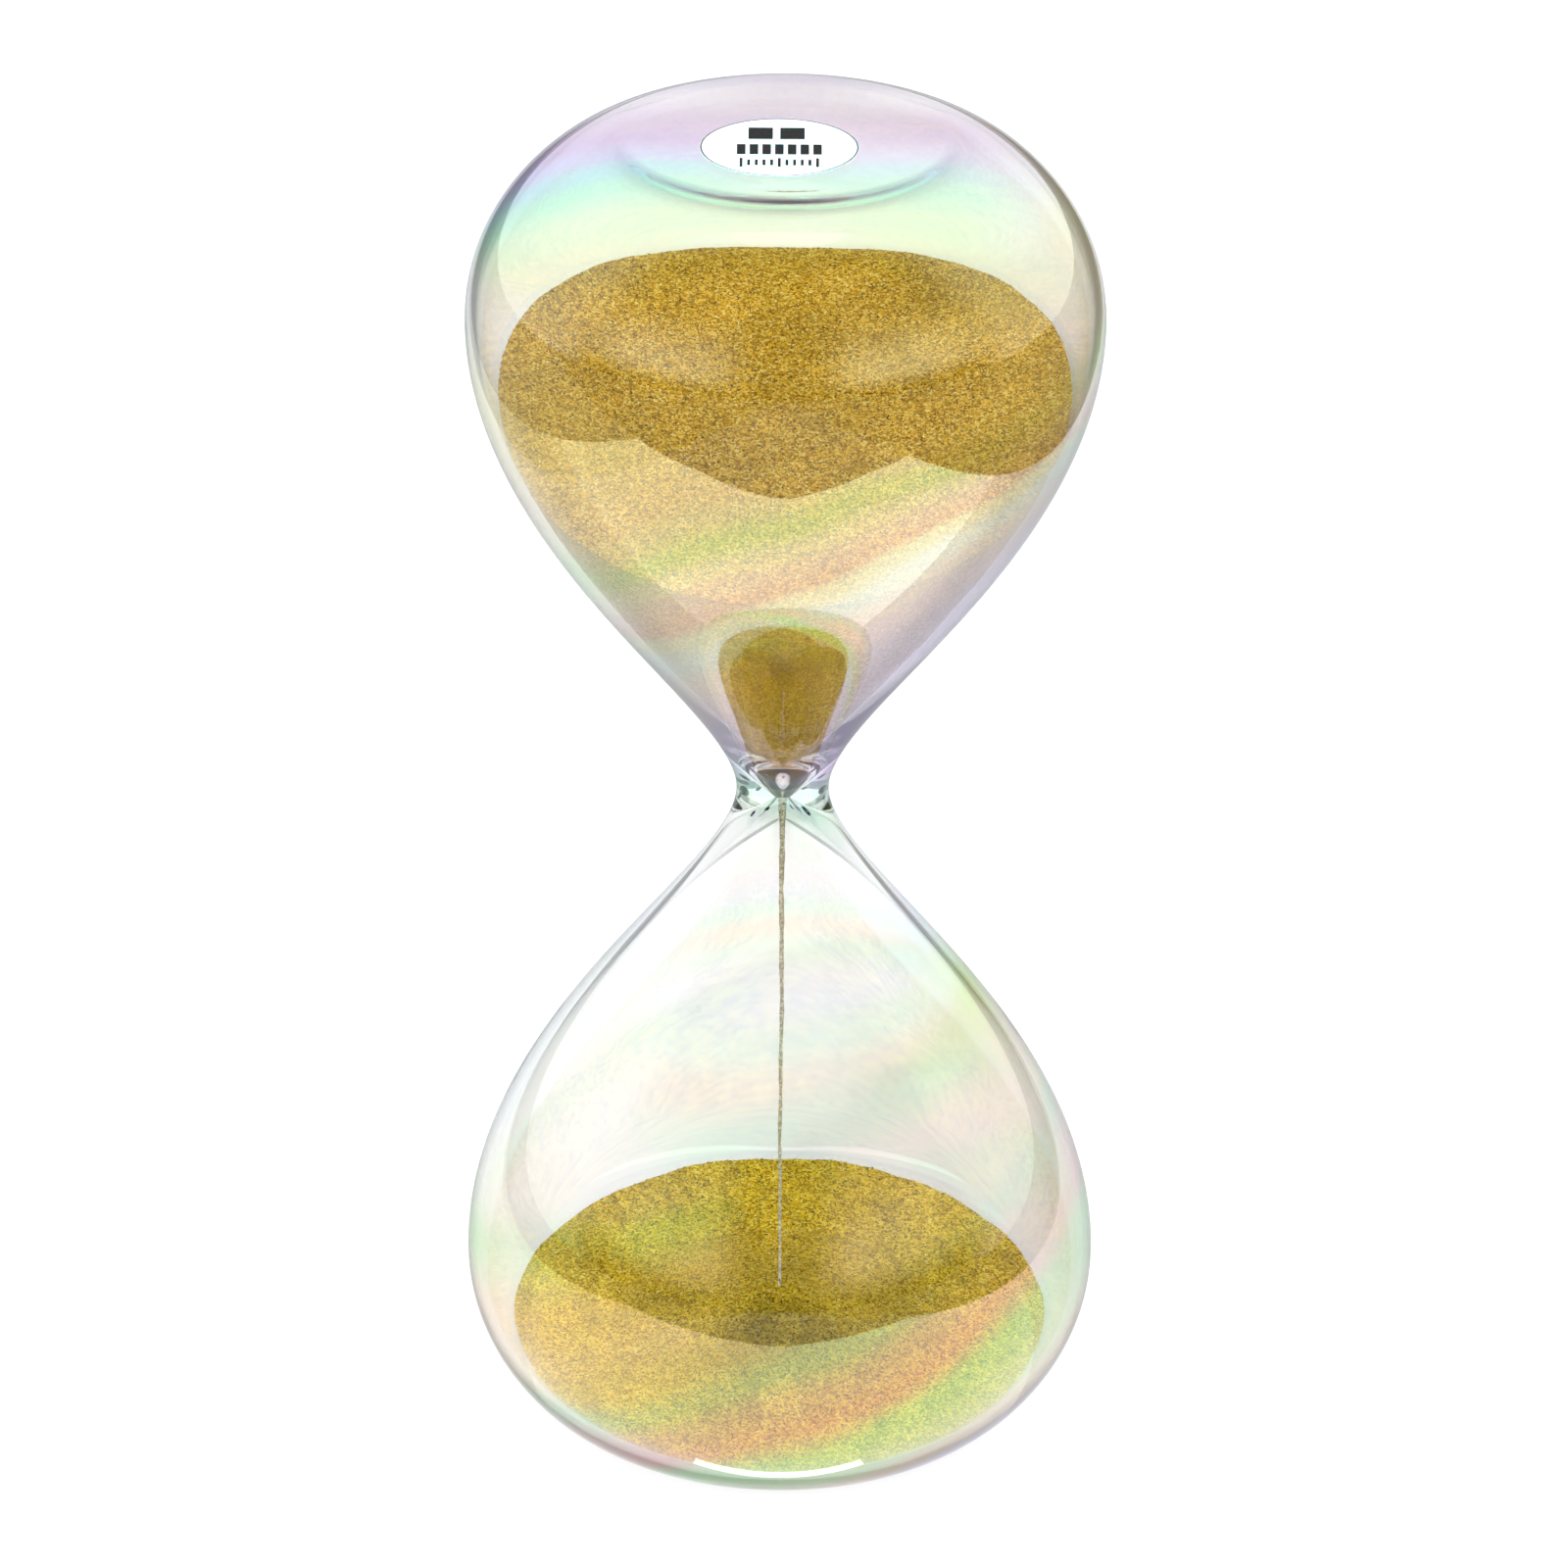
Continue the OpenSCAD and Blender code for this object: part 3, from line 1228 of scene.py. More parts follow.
    def bubble(self, centre: Vector, sizes: Vector, lean: float) -> bpy.types.Object:
        """One bubble: a drawn-out ball whose faces look into it.

        Args:
            centre: Its centre from the middle of the waist.
            sizes: Its half sizes.
            lean: How far it leans to the side, in degrees.

        Returns:
            The bubble as a mesh of its own.
        """
        bpy.ops.object.select_all(action="DESELECT")
        place = centre + Vector((0, 0, self.outline.mid))
        bpy.ops.mesh.primitive_uv_sphere_add(segments=2 * self.bubble_steps, ring_count=self.bubble_steps,
                                             radius=1.0)
        piece = named("bubble")
        turn = Matrix.Rotation(math.radians(lean), 3, "Y")

        def drawn_out(point: Vector) -> Vector:
            """Narrows the ball towards its top, scales it, leans it and puts it in place."""
            narrowing = 1 - 0.18 * point.z
            drop = Vector((point.x * narrowing * sizes.x, point.y * narrowing * sizes.y, point.z * sizes.z))
            return turn @ drop + place

        moved_points(piece, drawn_out)
        open_mesh(piece)
        bpy.ops.mesh.normals_make_consistent(inside=True)
        close_mesh()
        return piece

    def dressed(self, piece: bpy.types.Object, finishes: tuple[bpy.types.Material, ...]) -> None:
        """Gives a glass piece its finishes: filmed outside, bare inside, fused joint faces, bubbles with painted
        dark reflection.

        Args:
            piece: The glass piece.
            finishes: The outside, the inside and the joint finish, and the bubbles' if it has any.
        """
        smooth_round(piece, self.sharpest)
        for finish in finishes:
            piece.data.materials.append(finish)
        line = self.outline
        for face in piece.data.polygons:
            height = face.center.z - line.mid
            flat = abs(face.normal.z) > 0.999
            if flat and abs(abs(height) - line.joint_h) < 1e-6:
                face.material_index = 2
                continue
            if len(finishes) > 3 and face.index >= self.wall_faces:
                face.material_index = 3
                continue
            if piece.name.startswith("waist"):
                outwards = face.normal.x * face.center.x + face.normal.y * face.center.y
                radius = math.hypot(face.center.x, face.center.y)
                inner = outwards < 0 or radius < 0.5 * line.waist_r
            else:
                heart = Vector((0, 0, line.mid + math.copysign(line.widest, height)))
                inner = (heart - face.center).dot(face.normal) > 0
            face.material_index = 1 if inner else 0


@dataclass
class Stopper:
    """The stopper in the filling hole and the ring of cured sealant round it."""

    top: float                 # the hollow's floor, which the stopper is flush with
    bottom: float
    radius: float
    seal_r: float
    seal_depth: float
    tail: float = 1.2 * MM
    tip_r: float = 2.4 * MM
    edge: float = 0.25 * MM
    steps: int = 64

    def built(self) -> None:
        """Builds, dresses and fixes the stopper and its sealant ring."""
        plastic = MouldedFinish("stopper_plastic", (0.86, 0.86, 0.84), 0.38)
        rubber = MouldedFinish("cured_sealant", (0.80, 0.81, 0.80), 0.5, mottle=0.1)
        stopper = turned("stopper", self.stopper_section(), closed=False, steps=self.steps)
        painted(stopper, plastic.made())
        smooth_round(stopper, 50)
        finished(stopper, "stopper", "filling_plug")
        ring = turned("sealant_ring", self.ring_section(), closed=True, steps=self.steps)
        painted(ring, rubber.made())
        smooth_round(ring, 50)
        finished(ring, "sealant", "plug_seal")

    def stopper_section(self) -> Outline:
        """A tapered tip, a straight body and a softly dished head."""
        edge = self.edge
        return [
            (0.0, self.bottom + edge), (self.tip_r - 2 * edge, self.bottom + 0.6 * edge),
            (self.tip_r - edge, self.bottom), (self.tip_r - 0.3 * edge, self.bottom + 0.3 * edge),
            (self.tip_r, self.bottom + edge), (self.radius - 0.1 * edge, self.bottom + self.tail - edge),
            (self.radius, self.bottom + self.tail), (self.radius, self.top - edge),
            (self.radius - 0.3 * edge, self.top - 0.3 * edge), (self.radius - edge, self.top),
            (self.radius - 3 * edge, self.top - 0.3 * edge), (0.0, self.top - 0.6 * edge)]

    def ring_section(self) -> Outline:
        """A wedge of sealant in the countersink, with a sunken meniscus."""
        width = self.seal_r - self.radius
        low = self.top - self.seal_depth
        points = [(self.radius, low + 0.05 * MM), (self.radius + 0.03 * width, low)]
        for share in (1.0, 0.8, 0.6, 0.4, 0.2, 0.0):
            sag = 0.12 * MM * math.sin(math.pi * share)
            points.append((self.radius + share * width, self.top - sag))
        return points


@dataclass
class TimeSticker:
    """The round paper sticker, with its printed graduations."""

    centre: Vector             # middle of its lower face
    radius: float
    thickness: float
    edge: float = 0.05 * MM
    ink: float = 0.02 * MM     # the printing stands this proud
    steps: int = 96

    def built(self) -> None:
        """Builds, dresses and fixes the sticker, its outline and its printing."""
        paper = MouldedFinish("sticker_paper", (0.96, 0.96, 0.955), 0.5, mottle=0.02, texture=0.1 * MM,
                              depth=0.4 * MM)
        ink = MouldedFinish("black_ink", (0.010, 0.010, 0.011), 0.6, mottle=0.3, texture=0.08 * MM, shine=0.1)
        line = MouldedFinish("grey_edge_line", (0.10, 0.095, 0.11), 0.6, mottle=0.2, texture=0.1 * MM, shine=0.1)
        disc = turned("sticker_disc", self.disc_section(), closed=False, steps=self.steps)
        self.placed(disc)
        painted(disc, paper.made())
        smooth_round(disc, 30)
        finished(disc, "sticker", "time_label")
        border = turned("sticker_edge_line", self.border_section(), closed=True, steps=self.steps)
        self.placed(border)
        painted(border, line.made())
        finished(border, "ink")
        printing = self.printing()
        painted(printing, ink.made())
        finished(printing, "ink")

    def placed(self, piece: bpy.types.Object) -> None:
        """Moves a piece that was made round the axis to the sticker's centre."""
        open_mesh(piece)
        bpy.ops.transform.translate(value=self.centre)
        close_mesh()

    def disc_section(self) -> Outline:
        """The sticker's thickness, with its cut edge rounded over."""
        r, t, e = self.radius, self.thickness, self.edge
        return [(0.0, 0.0), (r - e, 0.0), (r, e), (r - 0.3 * e, t - 0.3 * e), (r - e, t), (0.98 * r, t),
                (0.5 * r, t), (0.0, t)]

    def border_section(self) -> Outline:
        """A thin printed line just inside the cut edge."""
        outer, inner, top = self.radius - 1.2 * self.edge, self.radius - 0.34 * MM, self.thickness
        return [(inner, top), (outer, top), (outer, top + 0.5 * self.ink), (inner, top + 0.5 * self.ink)]

    def printing(self) -> bpy.types.Object:
        """Two blocks, a bold row of graduations and a fine row under it, with no lettering.

        Returns:
            The printing as one mesh of its own.
        """
        blocks = [self.bar(x * MM, 5.2 * MM, 3.4 * MM, 4.4 * MM) for x in (-2.6, 1.8)]
        bars = [self.bar(x * 1.75 * MM, -0.9 * MM, 1.2 * MM, 3.9 * MM) for x in range(-3, 4)]
        fine = [self.bar(x * 1.05 * MM, -5.9 * MM, 0.42 * MM, (3.4 if x % 5 == 0 else 2.2) * MM)
                for x in range(-5, 6)]
        joined(blocks[0], blocks[1:] + bars + fine)
        return named("sticker_printing")

    def bar(self, x: float, y: float, width: float, height: float) -> bpy.types.Object:
        """One printed graduation.

        Args:
            x: Its middle, to the right of the sticker's centre.
            y: Its middle, behind the sticker's centre.
            width: Its width.
            height: Its height on the sticker.

        Returns:
            The graduation as a mesh.
        """
        bpy.ops.object.select_all(action="DESELECT")
        centre = self.centre + Vector((x, y, self.thickness + self.ink / 2))
        bpy.ops.mesh.primitive_cube_add(size=1.0)
        piece = named("graduation")
        moved_points(piece, lambda point: Vector(
            (point.x * width + centre.x, point.y * height + centre.y, point.z * self.ink + centre.z)))
        return piece


@dataclass
class SandFill:
    """All the sand: two beds with their loose top grains, the sand in the throat and the falling thread."""

    outline: GlassOutline
    stream_top: float
    stream_foot: float
    upper_level: float = 53.5 * MM     # the upper surface above the middle of the waist, on the axis
    upper_lean: float = 19.0
    trough_r: float = 200 * MM
    lower_level: float = 13 * MM       # the lower surface above the standing face, without its heap
    lower_lean: float = 10.0
    heap_h: float = 7 * MM
    heap_r: float = 24 * MM
    grain: float = 0.4 * MM
    loose_grains: int = 16000          # on each bed
    cutter_steps: int = 200
    looks_up: float = 0.75             # the least upward part of a normal on which loose grains lie
    patch_r: float = 10 * MM           # radius of the painted shade on the front of the heap

    def built(self) -> None:
        """Builds, dresses and fixes every piece of sand."""
        gold = GoldSand("gold_sand").made()
        # Painted light: the lower sand and its loose grains are brighter, more saturated copies of the gold sand,
        # for the light that the upper sand keeps off the lower bed
        lower_lit_sand = GoldSand("lower_sand_painted_light", dark=(0.26, 0.16, 0.004), gold=(0.95, 0.66, 0.018),
                        pale=(1.0, 0.92, 0.18), patch=self.patch_r).made()
        loose = GoldSand("loose_gold_grains", grain=0.5 * MM, tilt=0.3).made()
        lower_lit_grains = GoldSand("lower_grains_painted_light", gold=(0.90, 0.60, 0.03), grain=0.5 * MM, tilt=0.3,
                         patch=self.patch_r).made()
        # Painted light: the falling thread is a much lighter copy of the gold sand, for light that the upper sand
        # keeps off it
        falling = GoldSand("falling_sand_painted_light", dark=(0.62, 0.54, 0.34), gold=(0.90, 0.82, 0.58),
                           pale=(1.0, 0.96, 0.78), tilt=0.2).made()
        upper = self.bed("upper_sand_bed", Half.UPPER, self.upper_surface)
        lower = self.bed("lower_sand_bed", Half.LOWER, self.lower_surface)
        for piece, node, finish, cover in ((upper, "upper_sand", gold, loose), (lower, "lower_sand", lower_lit_sand, lower_lit_grains)):
            painted(piece, finish)
            grains = self.scattered(piece, node.replace("sand", "loose_grains"))
            painted(grains, cover)
            finished(piece, "gold_sand", node)
            finished(grains, "gold_sand")
        throat = self.throat()
        painted(throat, gold)
        finished(throat, "gold_sand", "throat_sand")
        thread = self.thread()
        painted(thread, falling)
        finished(thread, "gold_sand", "sand_stream")

    def ripples(self, x: float, y: float, seed: float) -> float:
        """Soft unevenness that pouring and running leave on a surface.

        Args:
            x: Place to the right, in metres.
            y: Place towards the back, in metres.
            seed: Shifts the pattern.

        Returns:
            The height to add, in metres.
        """
        u, v = x / MM, y / MM
        wave = math.sin(0.31 * u + seed) * math.cos(0.27 * v - 0.6 * seed)
        fine = math.sin(0.83 * u - 0.37 * v + 2 * seed) * math.cos(0.71 * v + 0.29 * u)
        return (0.16 * wave + 0.07 * fine) * MM

    def upper_surface(self, x: float, y: float) -> float:
        """Height of the upper sand's surface, drawn down along its middle towards the front."""
        lean = math.tan(math.radians(self.upper_lean)) * y
        trough = self.trough_r - math.sqrt(self.trough_r**2 - x * x)
        return (self.outline.mid + self.upper_level + lean + trough / math.cos(math.radians(self.upper_lean))
                + self.ripples(x, y, 0.4))

    def lower_surface(self, x: float, y: float) -> float:
        """Height of the lower sand's surface, with the heap where the thread lands."""
        lean = math.tan(math.radians(self.lower_lean)) * y
        away = math.hypot(x, y)
        heap = self.heap_h * max(0.0, 1 - away / self.heap_r)
        blunt = min(1.0, away / (2.2 * MM))
        crest = heap - 0.9 * MM * (1 - blunt) ** 2
        slump = 0.18 * MM * math.sin(away / (3.1 * MM)) * math.exp(-away / (16 * MM))
        return self.lower_level + lean + crest + slump + self.ripples(x, y, 2.1)

    def bed(self, name: str, half: Half, surface: Callable[[float, float], float]) -> bpy.types.Object:
        """A bed of sand: the inside of the glass, less the grains' gap, cut off by a shaped surface.

        Args:
            name: The bed's name.
            half: The half that it lies in.
            surface: The height of its surface at a place.

        Returns:
            The bed as one closed mesh.
        """
        line = self.outline
        gap = line.sand_gap
        wall = line.inside(line.joint_h, gap)
        end = line.mid - line.end_wall - gap
        inner = [(0.0, end), (0.5 * line.foot_r, end)] + wall
        inner += [(0.5 * wall[-1][0], line.joint_h), (0.0, line.joint_h)]
        bed = turned(name, at_half(inner, half, line.mid), closed=False)
        cutter = self.cutter(surface)
        modified(bed, "BOOLEAN", operation="DIFFERENCE", solver="MANIFOLD", object=cutter)
        discarded(cutter)
        smooth_round(bed, 35)
        return bed

    def cutter(self, surface: Callable[[float, float], float]) -> bpy.types.Object:
        """A block over a shaped surface, which takes away all the sand above it."""
        bpy.ops.object.select_all(action="DESELECT")
        size = 2.3 * self.outline.bulb_r
        bpy.ops.mesh.primitive_grid_add(x_subdivisions=self.cutter_steps, y_subdivisions=self.cutter_steps,
                                        size=size)
        piece = named("sand_cutter")
        moved_points(piece, lambda point: Vector((point.x, point.y, surface(point.x, point.y))))
        open_mesh(piece, "FACE")
        bpy.ops.mesh.extrude_region_move(TRANSFORM_OT_translate={"value": (0, 0, 2 * self.outline.mid)})
        bpy.ops.mesh.select_all(action="SELECT")
        bpy.ops.mesh.normals_make_consistent(inside=False)
        close_mesh()
        return piece

    def scattered(self, bed: bpy.types.Object, name: str) -> bpy.types.Object:
        """Loose grains over a bed's top surface.

        Args:
            bed: The bed that they lie on.
            name: The new piece's name.

        Returns:
            The grains as one mesh.
        """
        bpy.ops.object.select_all(action="DESELECT")
        bpy.ops.mesh.primitive_uv_sphere_add(segments=4, ring_count=2, radius=self.grain / 2)
        grain = named("one_grain")
        moved_points(grain, lambda point: Vector((point.x * 1.15, point.y * 0.9, point.z * 0.75)))
        select_only(bed)
        bpy.ops.object.duplicate()
        piece = named(name)
        area = sum(face.area for face in bed.data.polygons if face.normal.z > self.looks_up)
        modifier = piece.modifiers.new("grains", "NODES")
        modifier.node_group = self.scatter_group(grain, self.loose_grains / area, self.looks_up)
        bpy.ops.object.modifier_apply(modifier=modifier.name)
        discarded(grain)
        return piece

    @staticmethod
    def scatter_group(grain: bpy.types.Object, density: float, looks_up: float) -> bpy.types.NodeTree:
        """Geometry nodes that lay copies of a grain on every face that looks up.

        Args:
            grain: The grain to copy.
            density: How many grains lie on a square metre.
            looks_up: The least upward part of a normal that counts as looking up.

        Returns:
            The node group.
        """
        group = bpy.data.node_groups.new("scatter_grains", "GeometryNodeTree")
        group.interface.new_socket("Geometry", in_out="INPUT", socket_type="NodeSocketGeometry")
        group.interface.new_socket("Geometry", in_out="OUTPUT", socket_type="NodeSocketGeometry")
        nodes, wire = group.nodes, group.links.new
        given, result = nodes.new("NodeGroupInput"), nodes.new("NodeGroupOutput")
        points = nodes.new("GeometryNodeDistributePointsOnFaces")
        points.inputs["Density"].default_value = density
        points.inputs["Seed"].default_value = 7
        normal = nodes.new("GeometryNodeInputNormal")
        split = nodes.new("ShaderNodeSeparateXYZ")
        upward = nodes.new("FunctionNodeCompare")
        upward.operation = "GREATER_THAN"
        upward.inputs["B"].default_value = looks_up
        copy = nodes.new("GeometryNodeInstanceOnPoints")
        shape = nodes.new("GeometryNodeObjectInfo")
        shape.inputs["Object"].default_value = grain
        spin = nodes.new("FunctionNodeRandomValue")
        spin.data_type = "FLOAT_VECTOR"
        spin.inputs["Max"].default_value = (math.tau, math.tau, math.tau)
        spin.inputs["Seed"].default_value = 11
        size = nodes.new("FunctionNodeRandomValue")
        size.inputs[2].default_value = 0.7
        size.inputs[3].default_value = 1.15
        size.inputs["Seed"].default_value = 13
        real = nodes.new("GeometryNodeRealizeInstances")
        wire(given.outputs[0], points.inputs["Mesh"])
        wire(normal.outputs[0], split.inputs[0])
        wire(split.outputs["Z"], upward.inputs["A"])
        wire(upward.outputs[0], points.inputs["Selection"])
        wire(points.outputs["Points"], copy.inputs["Points"])
        wire(shape.outputs["Geometry"], copy.inputs["Instance"])
        wire(spin.outputs[0], copy.inputs["Rotation"])
        wire(size.outputs[1], copy.inputs["Scale"])
        wire(copy.outputs[0], real.inputs[0])
        wire(real.outputs[0], result.inputs[0])
        return group

    def throat(self) -> bpy.types.Object:
        """The sand that stands in the funnel of the waist."""
        line = self.outline
        gap = line.sand_gap
        wall = [point for point in line.inside(line.orifice_r, gap) if point[1] < line.joint_h]
        rim = line.inside(line.joint_h, gap)[-1]
        section = [(0.0, line.joint_h), rim] + wall + [(0.0, line.orifice_r)]
        piece = turned("throat_sand_plug", at_half(section, Half.UPPER, line.mid), closed=False, steps=64)
        smooth_round(piece)
        return piece

    def thread(self) -> bpy.types.Object:
        """The falling thread: thick where it leaves the orifice, thinner and uneven lower down."""
        steps = 160
        length = self.stream_top - self.stream_foot

        def thickness(share: float) -> float:
            """Radius of the thread, from its foot at 0 to its top at 1."""
            swell = 0.22 + 0.20 * share**2 + 0.26 * blend_smoothly((share - 0.95) / 0.05)
            return swell * (1 + 0.12 * math.sin(61 * share) + 0.08 * math.sin(139 * share + 1.0)) * MM

        section = [(0.0, self.stream_foot)]
        section += [(thickness(i / steps), self.stream_foot + length * i / steps) for i in range(steps + 1)]
        section += [(0.0, self.stream_top)]
        piece = turned("falling_thread", section, closed=False, steps=10)

        def swayed(point: Vector) -> Vector:
            """Shifts a point a little to the side, by its height."""
            share = (point.z - self.stream_foot) / length
            fade = blend_smoothly(4 * (1 - share))
            sway = 0.06 * math.sin(13 * share + 0.5) + 0.035 * math.sin(37 * share)
            return Vector((point.x + fade * sway * MM, point.y + 0.5 * fade * sway * MM, point.z))

        moved_points(piece, swayed)
        smooth_round(piece, 60)
        return piece


@dataclass
class Studio:
    """The plain floor, the soft light round the timer and the camera."""

    middle: float                       # height of the middle of the waist
    floor_size: float = 12.0
    floor_glow: float = 0.88            # the floor is a light table
    distance: float = 1.86
    raised: float = 23.8                # how far the camera looks down, in degrees
    field: float = 0.2207               # width of the view at the timer
    aim_side: float = 0.2 * MM
    aim_over_waist: float = 0.44 * MM
    roll: float = 0.37
    left_level: float = 0.75            # brightness of the room at the left, the right and in the front lights
    right_level: float = 0.65
    panel_level: float = 0.8
    film_width: float = 36.0
    softbox_watts: float = 38.0
    overhead_watts: float = 43.0
    screen_side: float = 0.2            # the bright table ends this far out to each side
    screen_colour: Colour = (0.45, 0.46, 0.47)

    def built(self) -> None:
        """Builds the whole studio."""
        self.floor()
        self.world()
        self.cards()
        self.lights()
        self.camera()
        scene = bpy.context.scene
        scene.view_settings.view_transform = "Standard"
        scene.view_settings.look = "None"
        scene.cycles.max_bounces = 16
        scene.cycles.transmission_bounces = 14
        scene.cycles.glossy_bounces = 6
        scene.cycles.diffuse_bounces = 3
        scene.cycles.transparent_max_bounces = 16
        scene.cycles.caustics_reflective = False
        scene.cycles.caustics_refractive = False

    def floor(self) -> None:
        """A plain pale floor."""
        bpy.ops.object.select_all(action="DESELECT")
        bpy.ops.mesh.primitive_plane_add(size=self.floor_size, location=(0, 0, -0.05 * MM))
        piece = named("floor")
        material, sheet = new_material("pale_floor")
        shader = sheet.add("BsdfPrincipled")
        place = sheet.place()
        sheet.wire(sheet.mixed(sheet.noise(place, 0.4), (0.19, 0.19, 0.19, 1.0), (0.21, 0.21, 0.21, 1.0)),
                   shader.inputs["Base Color"])
        shader.inputs["Roughness"].default_value = 0.9
        shader.inputs["Specular IOR Level"].default_value = 0.0
        shader.inputs["Emission Color"].default_value = WHITE
        shader.inputs["Emission Strength"].default_value = self.floor_glow
        sheet.surface(shader.outputs[0])
        piece.data.materials.append(material)

    def world(self) -> None:
        """Soft light from all round: white overhead and behind, greyer at the sides and in front."""
        world = bpy.data.worlds.new("soft_studio")
        bpy.context.scene.world = world
        world.use_nodes = True
        world.node_tree.nodes.clear()
        sheet = NodeSheet(world.node_tree)
        split = sheet.add("SeparateXYZ")
        sheet.wire(sheet.add("TexCoord").outputs["Generated"], split.inputs[0])
        right, ahead, up = split.outputs["X"], split.outputs["Y"], split.outputs["Z"]
        outer = sheet.ranged(sheet.maths("ABSOLUTE", right), 0.45, 0.95)
        back = sheet.ranged(ahead, -0.05, 0.35)
        dim_side = sheet.ranged(right, -0.5, 0.5, self.left_level, self.right_level)
        surround = sheet.mixed(outer, back, dim_side)
        aside = sheet.maths("ABSOLUTE", sheet.maths("ARCTAN2", right, sheet.maths("MULTIPLY", ahead, -1.0)))
        panel = sheet.maths("MULTIPLY", sheet.ranged(aside, 0.16, 0.55), sheet.ranged(aside, 0.9, 1.5, 1.0, 0.4))
        panel = sheet.maths("MULTIPLY", panel, sheet.ranged(up, 0.02, 0.22))
        panel = sheet.maths("MULTIPLY", panel, sheet.ranged(up, 0.25, 0.7, self.panel_level, 0.1 * self.panel_level))
        front = sheet.ranged(ahead, -0.35, 0.0, 1.0, 0.0)
        walls = sheet.mixed(front, surround, panel)
        above = sheet.maths("MULTIPLY", sheet.ranged(up, 0.45, 0.85), sheet.ranged(ahead, -0.15, 0.3))
        level = sheet.mixed(above, walls, WHITE)
        level = sheet.mixed(sheet.add("LightPath").outputs["Is Camera Ray"], level, WHITE)
        shade = sheet.add("Background")
        sheet.wire(level, shade.inputs["Color"])
        shade.inputs["Strength"].default_value = 1.0
        sheet.surface(shade.outputs[0], "OutputWorld")

    def card(self, name: str, corners: Sequence[tuple[float, float, float]], colour: Colour,
             through: bool = False, fade: float = 0.0) -> None:
        """A flat card that only the glass shows.

        Args:
            name: The card's name.
            corners: Its four corners in order.
            colour: Its colour and brightness.
            through: True if it is seen through the glass, False if it is mirrored in it.
            fade: Over this distance behind its front edge it fades in from the floor's white.
        """
        bpy.ops.object.select_all(action="DESELECT")
        bpy.ops.mesh.primitive_plane_add(size=1.0)
        piece = named(name)
        order = (0, 1, 3, 2)
        for index, corner in zip(order, corners):
            piece.data.vertices[index].co = corner
        material, sheet = new_material(name)
        glow = sheet.add("Emission")
        glow.inputs["Color"].default_value = (*colour, 1.0)
        if fade:
            split = sheet.add("SeparateXYZ")
            sheet.wire(sheet.place(), split.inputs[0])
            start = min(corner[1] for corner in corners)
            into = sheet.ranged(split.outputs["Y"], start, start + fade)
            sheet.wire(sheet.mixed(into, WHITE, (*colour, 1.0)), glow.inputs["Color"])
        glow.inputs["Strength"].default_value = 1.0
        sheet.surface(glow.outputs[0])
        piece.data.materials.append(material)
        piece.visible_camera = False
        piece.visible_diffuse = False
        piece.visible_glossy = not through
        piece.visible_transmission = through
        piece.visible_shadow = False
        piece.visible_volume_scatter = False

    @staticmethod
    def oblong(left: float, right: float, front: float, back: float, height: float) -> tuple[
            tuple[float, float, float], ...]:
        """The four corners of a level oblong, in order."""
        return ((left, front, height), (right, front, height), (right, back, height), (left, back, height))

    def cards(self) -> None:
        """What the glass mirrors of the table, the screens that end it at the sides, and a glint in front."""
        far, low = 20.0, 0.5 * MM
        front, left, right = -0.225, -0.290, 0.215
        black = (0.05, 0.05, 0.05)
        self.card("front_dark_card", self.oblong(-far, far, -far, front, low), black)
        self.card("front_dark_corner", ((-0.13, front, low), (0.0, front - 0.01, low), (0.13, front, low),
                                        (0.0, front + 0.035, low)), black)
        self.card("back_grey_card", self.oblong(left, right, -0.01, far, low), (0.62, 0.65, 0.67), fade=0.07)
        self.card("front_glint_strip", self.oblong(-0.014, 0.014, -0.036, -0.034, 2 * low), (4.0, 4.0, 4.0))
        for name, sign, near, colour in (("left", -1, left, (0.28, 0.28, 0.26)),
                                         ("right", 1, right, (0.24, 0.20, 0.09))):
            self.card(name + "_dark_card", self.oblong(near, sign * far, front, far, low), colour)
            self.card(name + "_grey_screen", self.oblong(sign * self.screen_side, sign * far, -far, far, 2 * low),
                      self.screen_colour, through=True)

    def lights(self) -> None:
        """Two upright softboxes in front, with a gap between them, and a broad one overhead."""
        for sign, name in ((-1, "left_softbox"), (1, "right_softbox")):
            self.area_light(name, Vector((sign * 0.95, -1.3, 0.9)), (1.1, 1.2), self.softbox_watts)
        self.area_light("overhead_softbox", Vector((0.0, 0.25, 1.7)), (2.2, 1.8), self.overhead_watts)

    def area_light(self, name: str, place: Vector, size: tuple[float, float], power: float) -> None:
        """A soft rectangular lamp aimed at the waist.

        Args:
            name: The lamp's name.
            place: Where it hangs.
            size: Its width and height.
            power: Its power in watts.
        """
        lamp = bpy.data.lights.new(name, "AREA")
        lamp.shape = "RECTANGLE"
        lamp.size, lamp.size_y = size
        lamp.energy = power
        holder = bpy.data.objects.new(name, lamp)
        bpy.context.scene.collection.objects.link(holder)
        holder.location = place
        aim = Vector((0, 0, self.middle)) - place
        holder.rotation_euler = aim.to_track_quat("-Z", "Y").to_euler()
        holder.visible_glossy = False
        holder.visible_transmission = False

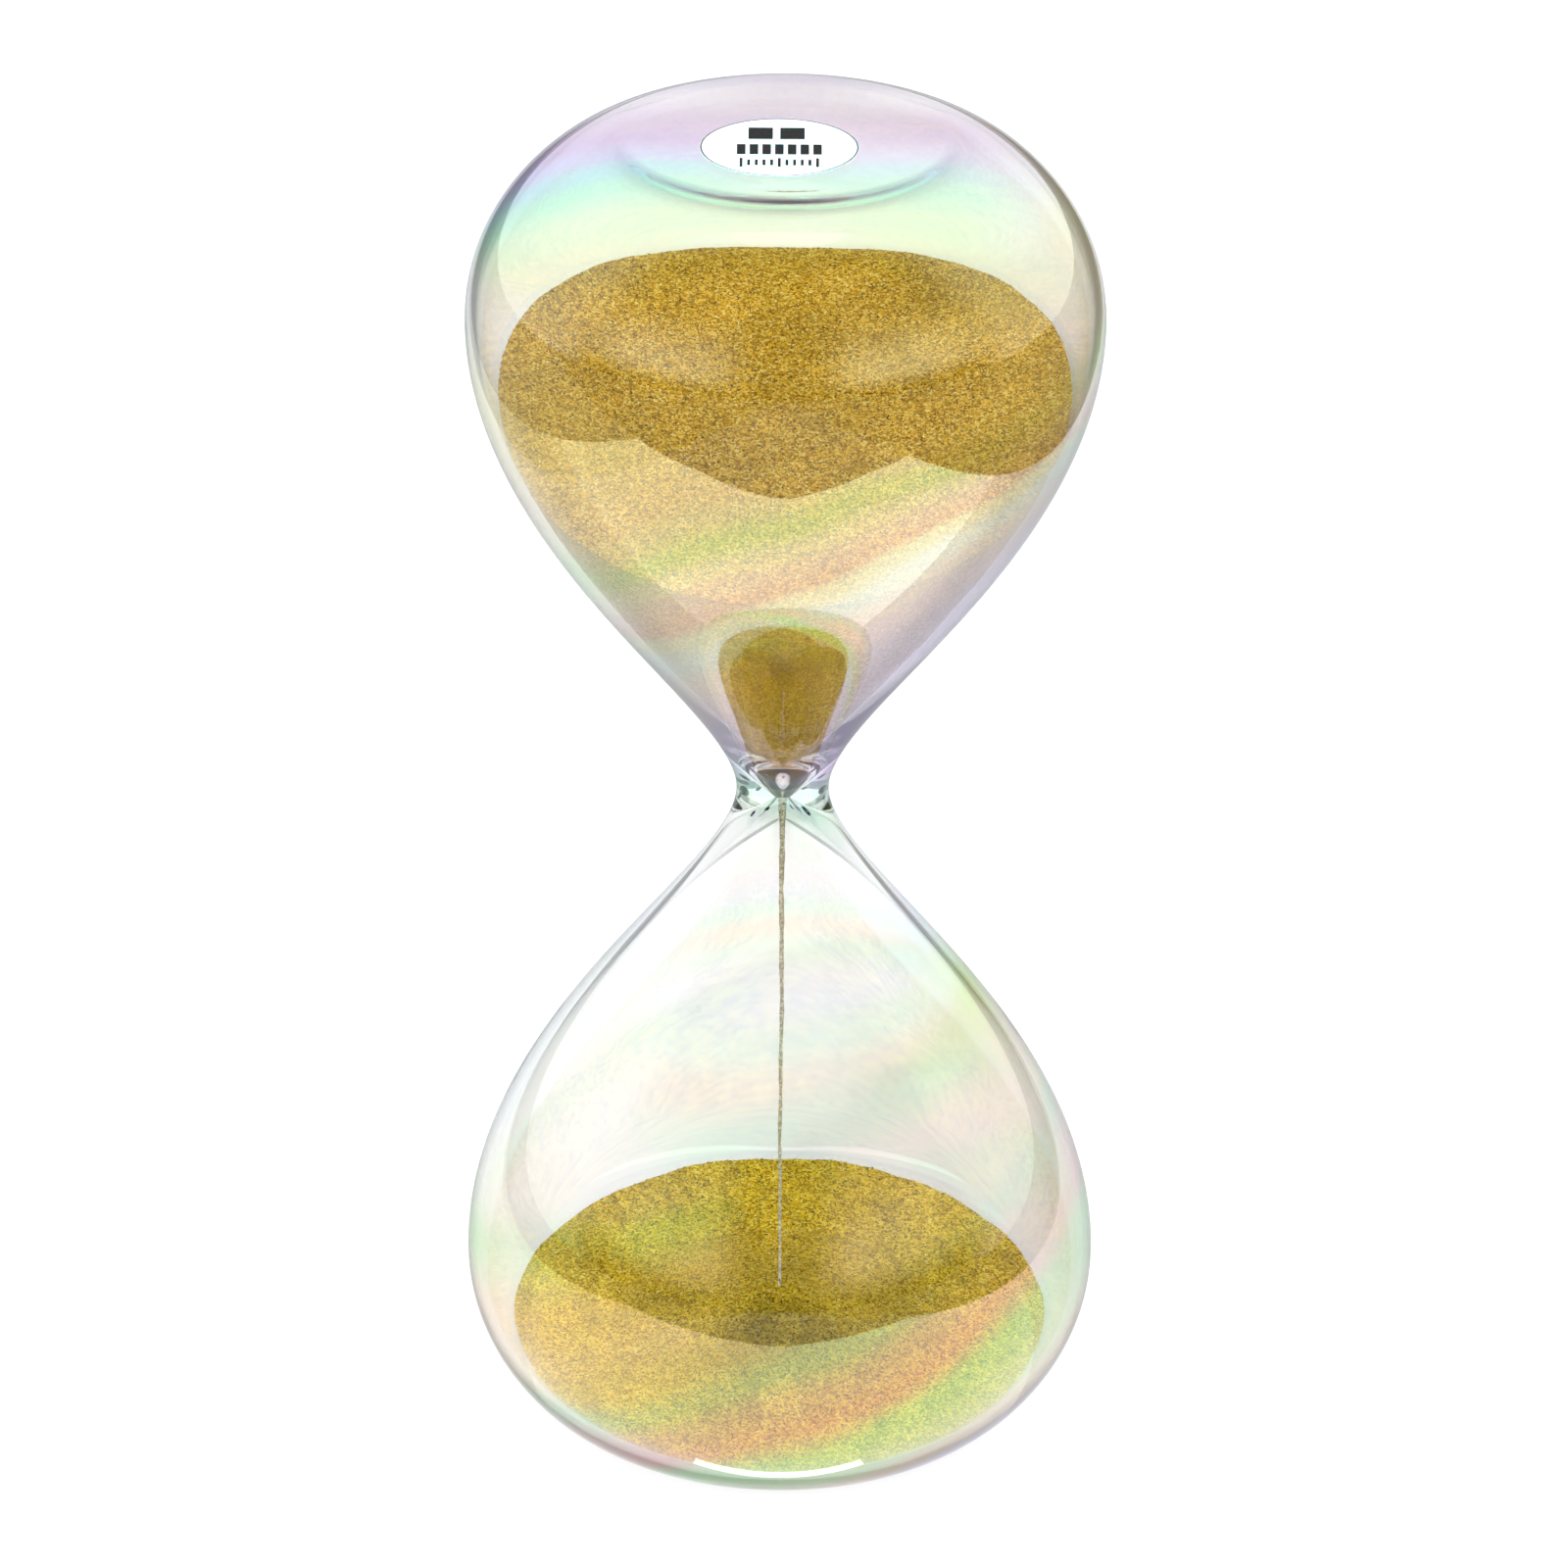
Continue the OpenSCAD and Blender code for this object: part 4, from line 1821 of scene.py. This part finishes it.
    def camera(self) -> None:
        """The camera, raised in front of the timer, with a very slight roll."""
        lens = bpy.data.cameras.new("camera")
        lens.sensor_width = self.film_width
        lens.lens = self.film_width * self.distance / self.field
        lens.clip_end = 50.0
        holder = bpy.data.objects.new("camera", lens)
        bpy.context.scene.collection.objects.link(holder)
        raised = math.radians(self.raised)
        aim = Vector((self.aim_side, 0.0, self.middle + self.aim_over_waist))
        holder.location = aim + self.distance * Vector((0, -math.cos(raised), math.sin(raised)))
        level = (aim - holder.location).to_track_quat("-Z", "Y").to_matrix()
        turn = Matrix.Rotation(math.radians(self.roll), 3, "Z")
        holder.rotation_euler = (level @ turn).to_euler()
        bpy.context.scene.camera = holder


# ---------------------------------------------------------------------------------------------------------------
# The build
# ---------------------------------------------------------------------------------------------------------------


def middle_of(node: str) -> Vector:
    """The middle of a CAD node's box."""
    low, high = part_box(node)
    return (low + high) / 2


def half_width(node: str) -> float:
    """Half the width of a CAD node's box."""
    low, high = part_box(node)
    return (high.x - low.x) / 2


def outline_of_frame() -> GlassOutline:
    """Reads the glass's driving sizes from the frame.

    Returns:
        The outline that the glass and the sand share.
    """
    mid = (CAD_BOX[1][2] - CAD_BOX[0][2]) / 2
    waist_low, waist_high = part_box("waist")
    stream_low, stream_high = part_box("sand_stream")
    return GlassOutline(mid=mid, bulb_r=half_width("upper_bulb"), joint_h=(waist_high.z - waist_low.z) / 2,
                        orifice_r=stream_high.z - mid)


def main() -> None:
    """Builds every sub-assembly in order."""
    logging.basicConfig(level=logging.INFO, format="%(name)s: %(message)s")
    outline = outline_of_frame()
    Studio(middle=outline.mid).built()

    plug_low, plug_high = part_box("filling_plug")
    seal_low, seal_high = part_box("plug_seal")
    plug_r, seal_r = half_width("filling_plug"), half_width("plug_seal")
    BlownGlass(outline, hole_r=plug_r, seal_r=seal_r, seal_depth=seal_high.z - seal_low.z).built()
    Stopper(top=plug_high.z, bottom=plug_low.z, radius=plug_r, seal_r=seal_r,
            seal_depth=seal_high.z - seal_low.z).built()

    label_low, label_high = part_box("time_label")
    label_middle = middle_of("time_label")
    TimeSticker(centre=Vector((label_middle.x, label_middle.y, label_low.z)), radius=half_width("time_label"),
                thickness=label_high.z - label_low.z).built()

    stream_low, stream_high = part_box("sand_stream")
    SandFill(outline, stream_top=stream_high.z, stream_foot=stream_low.z).built()


if __name__ == "__main__":
    main()
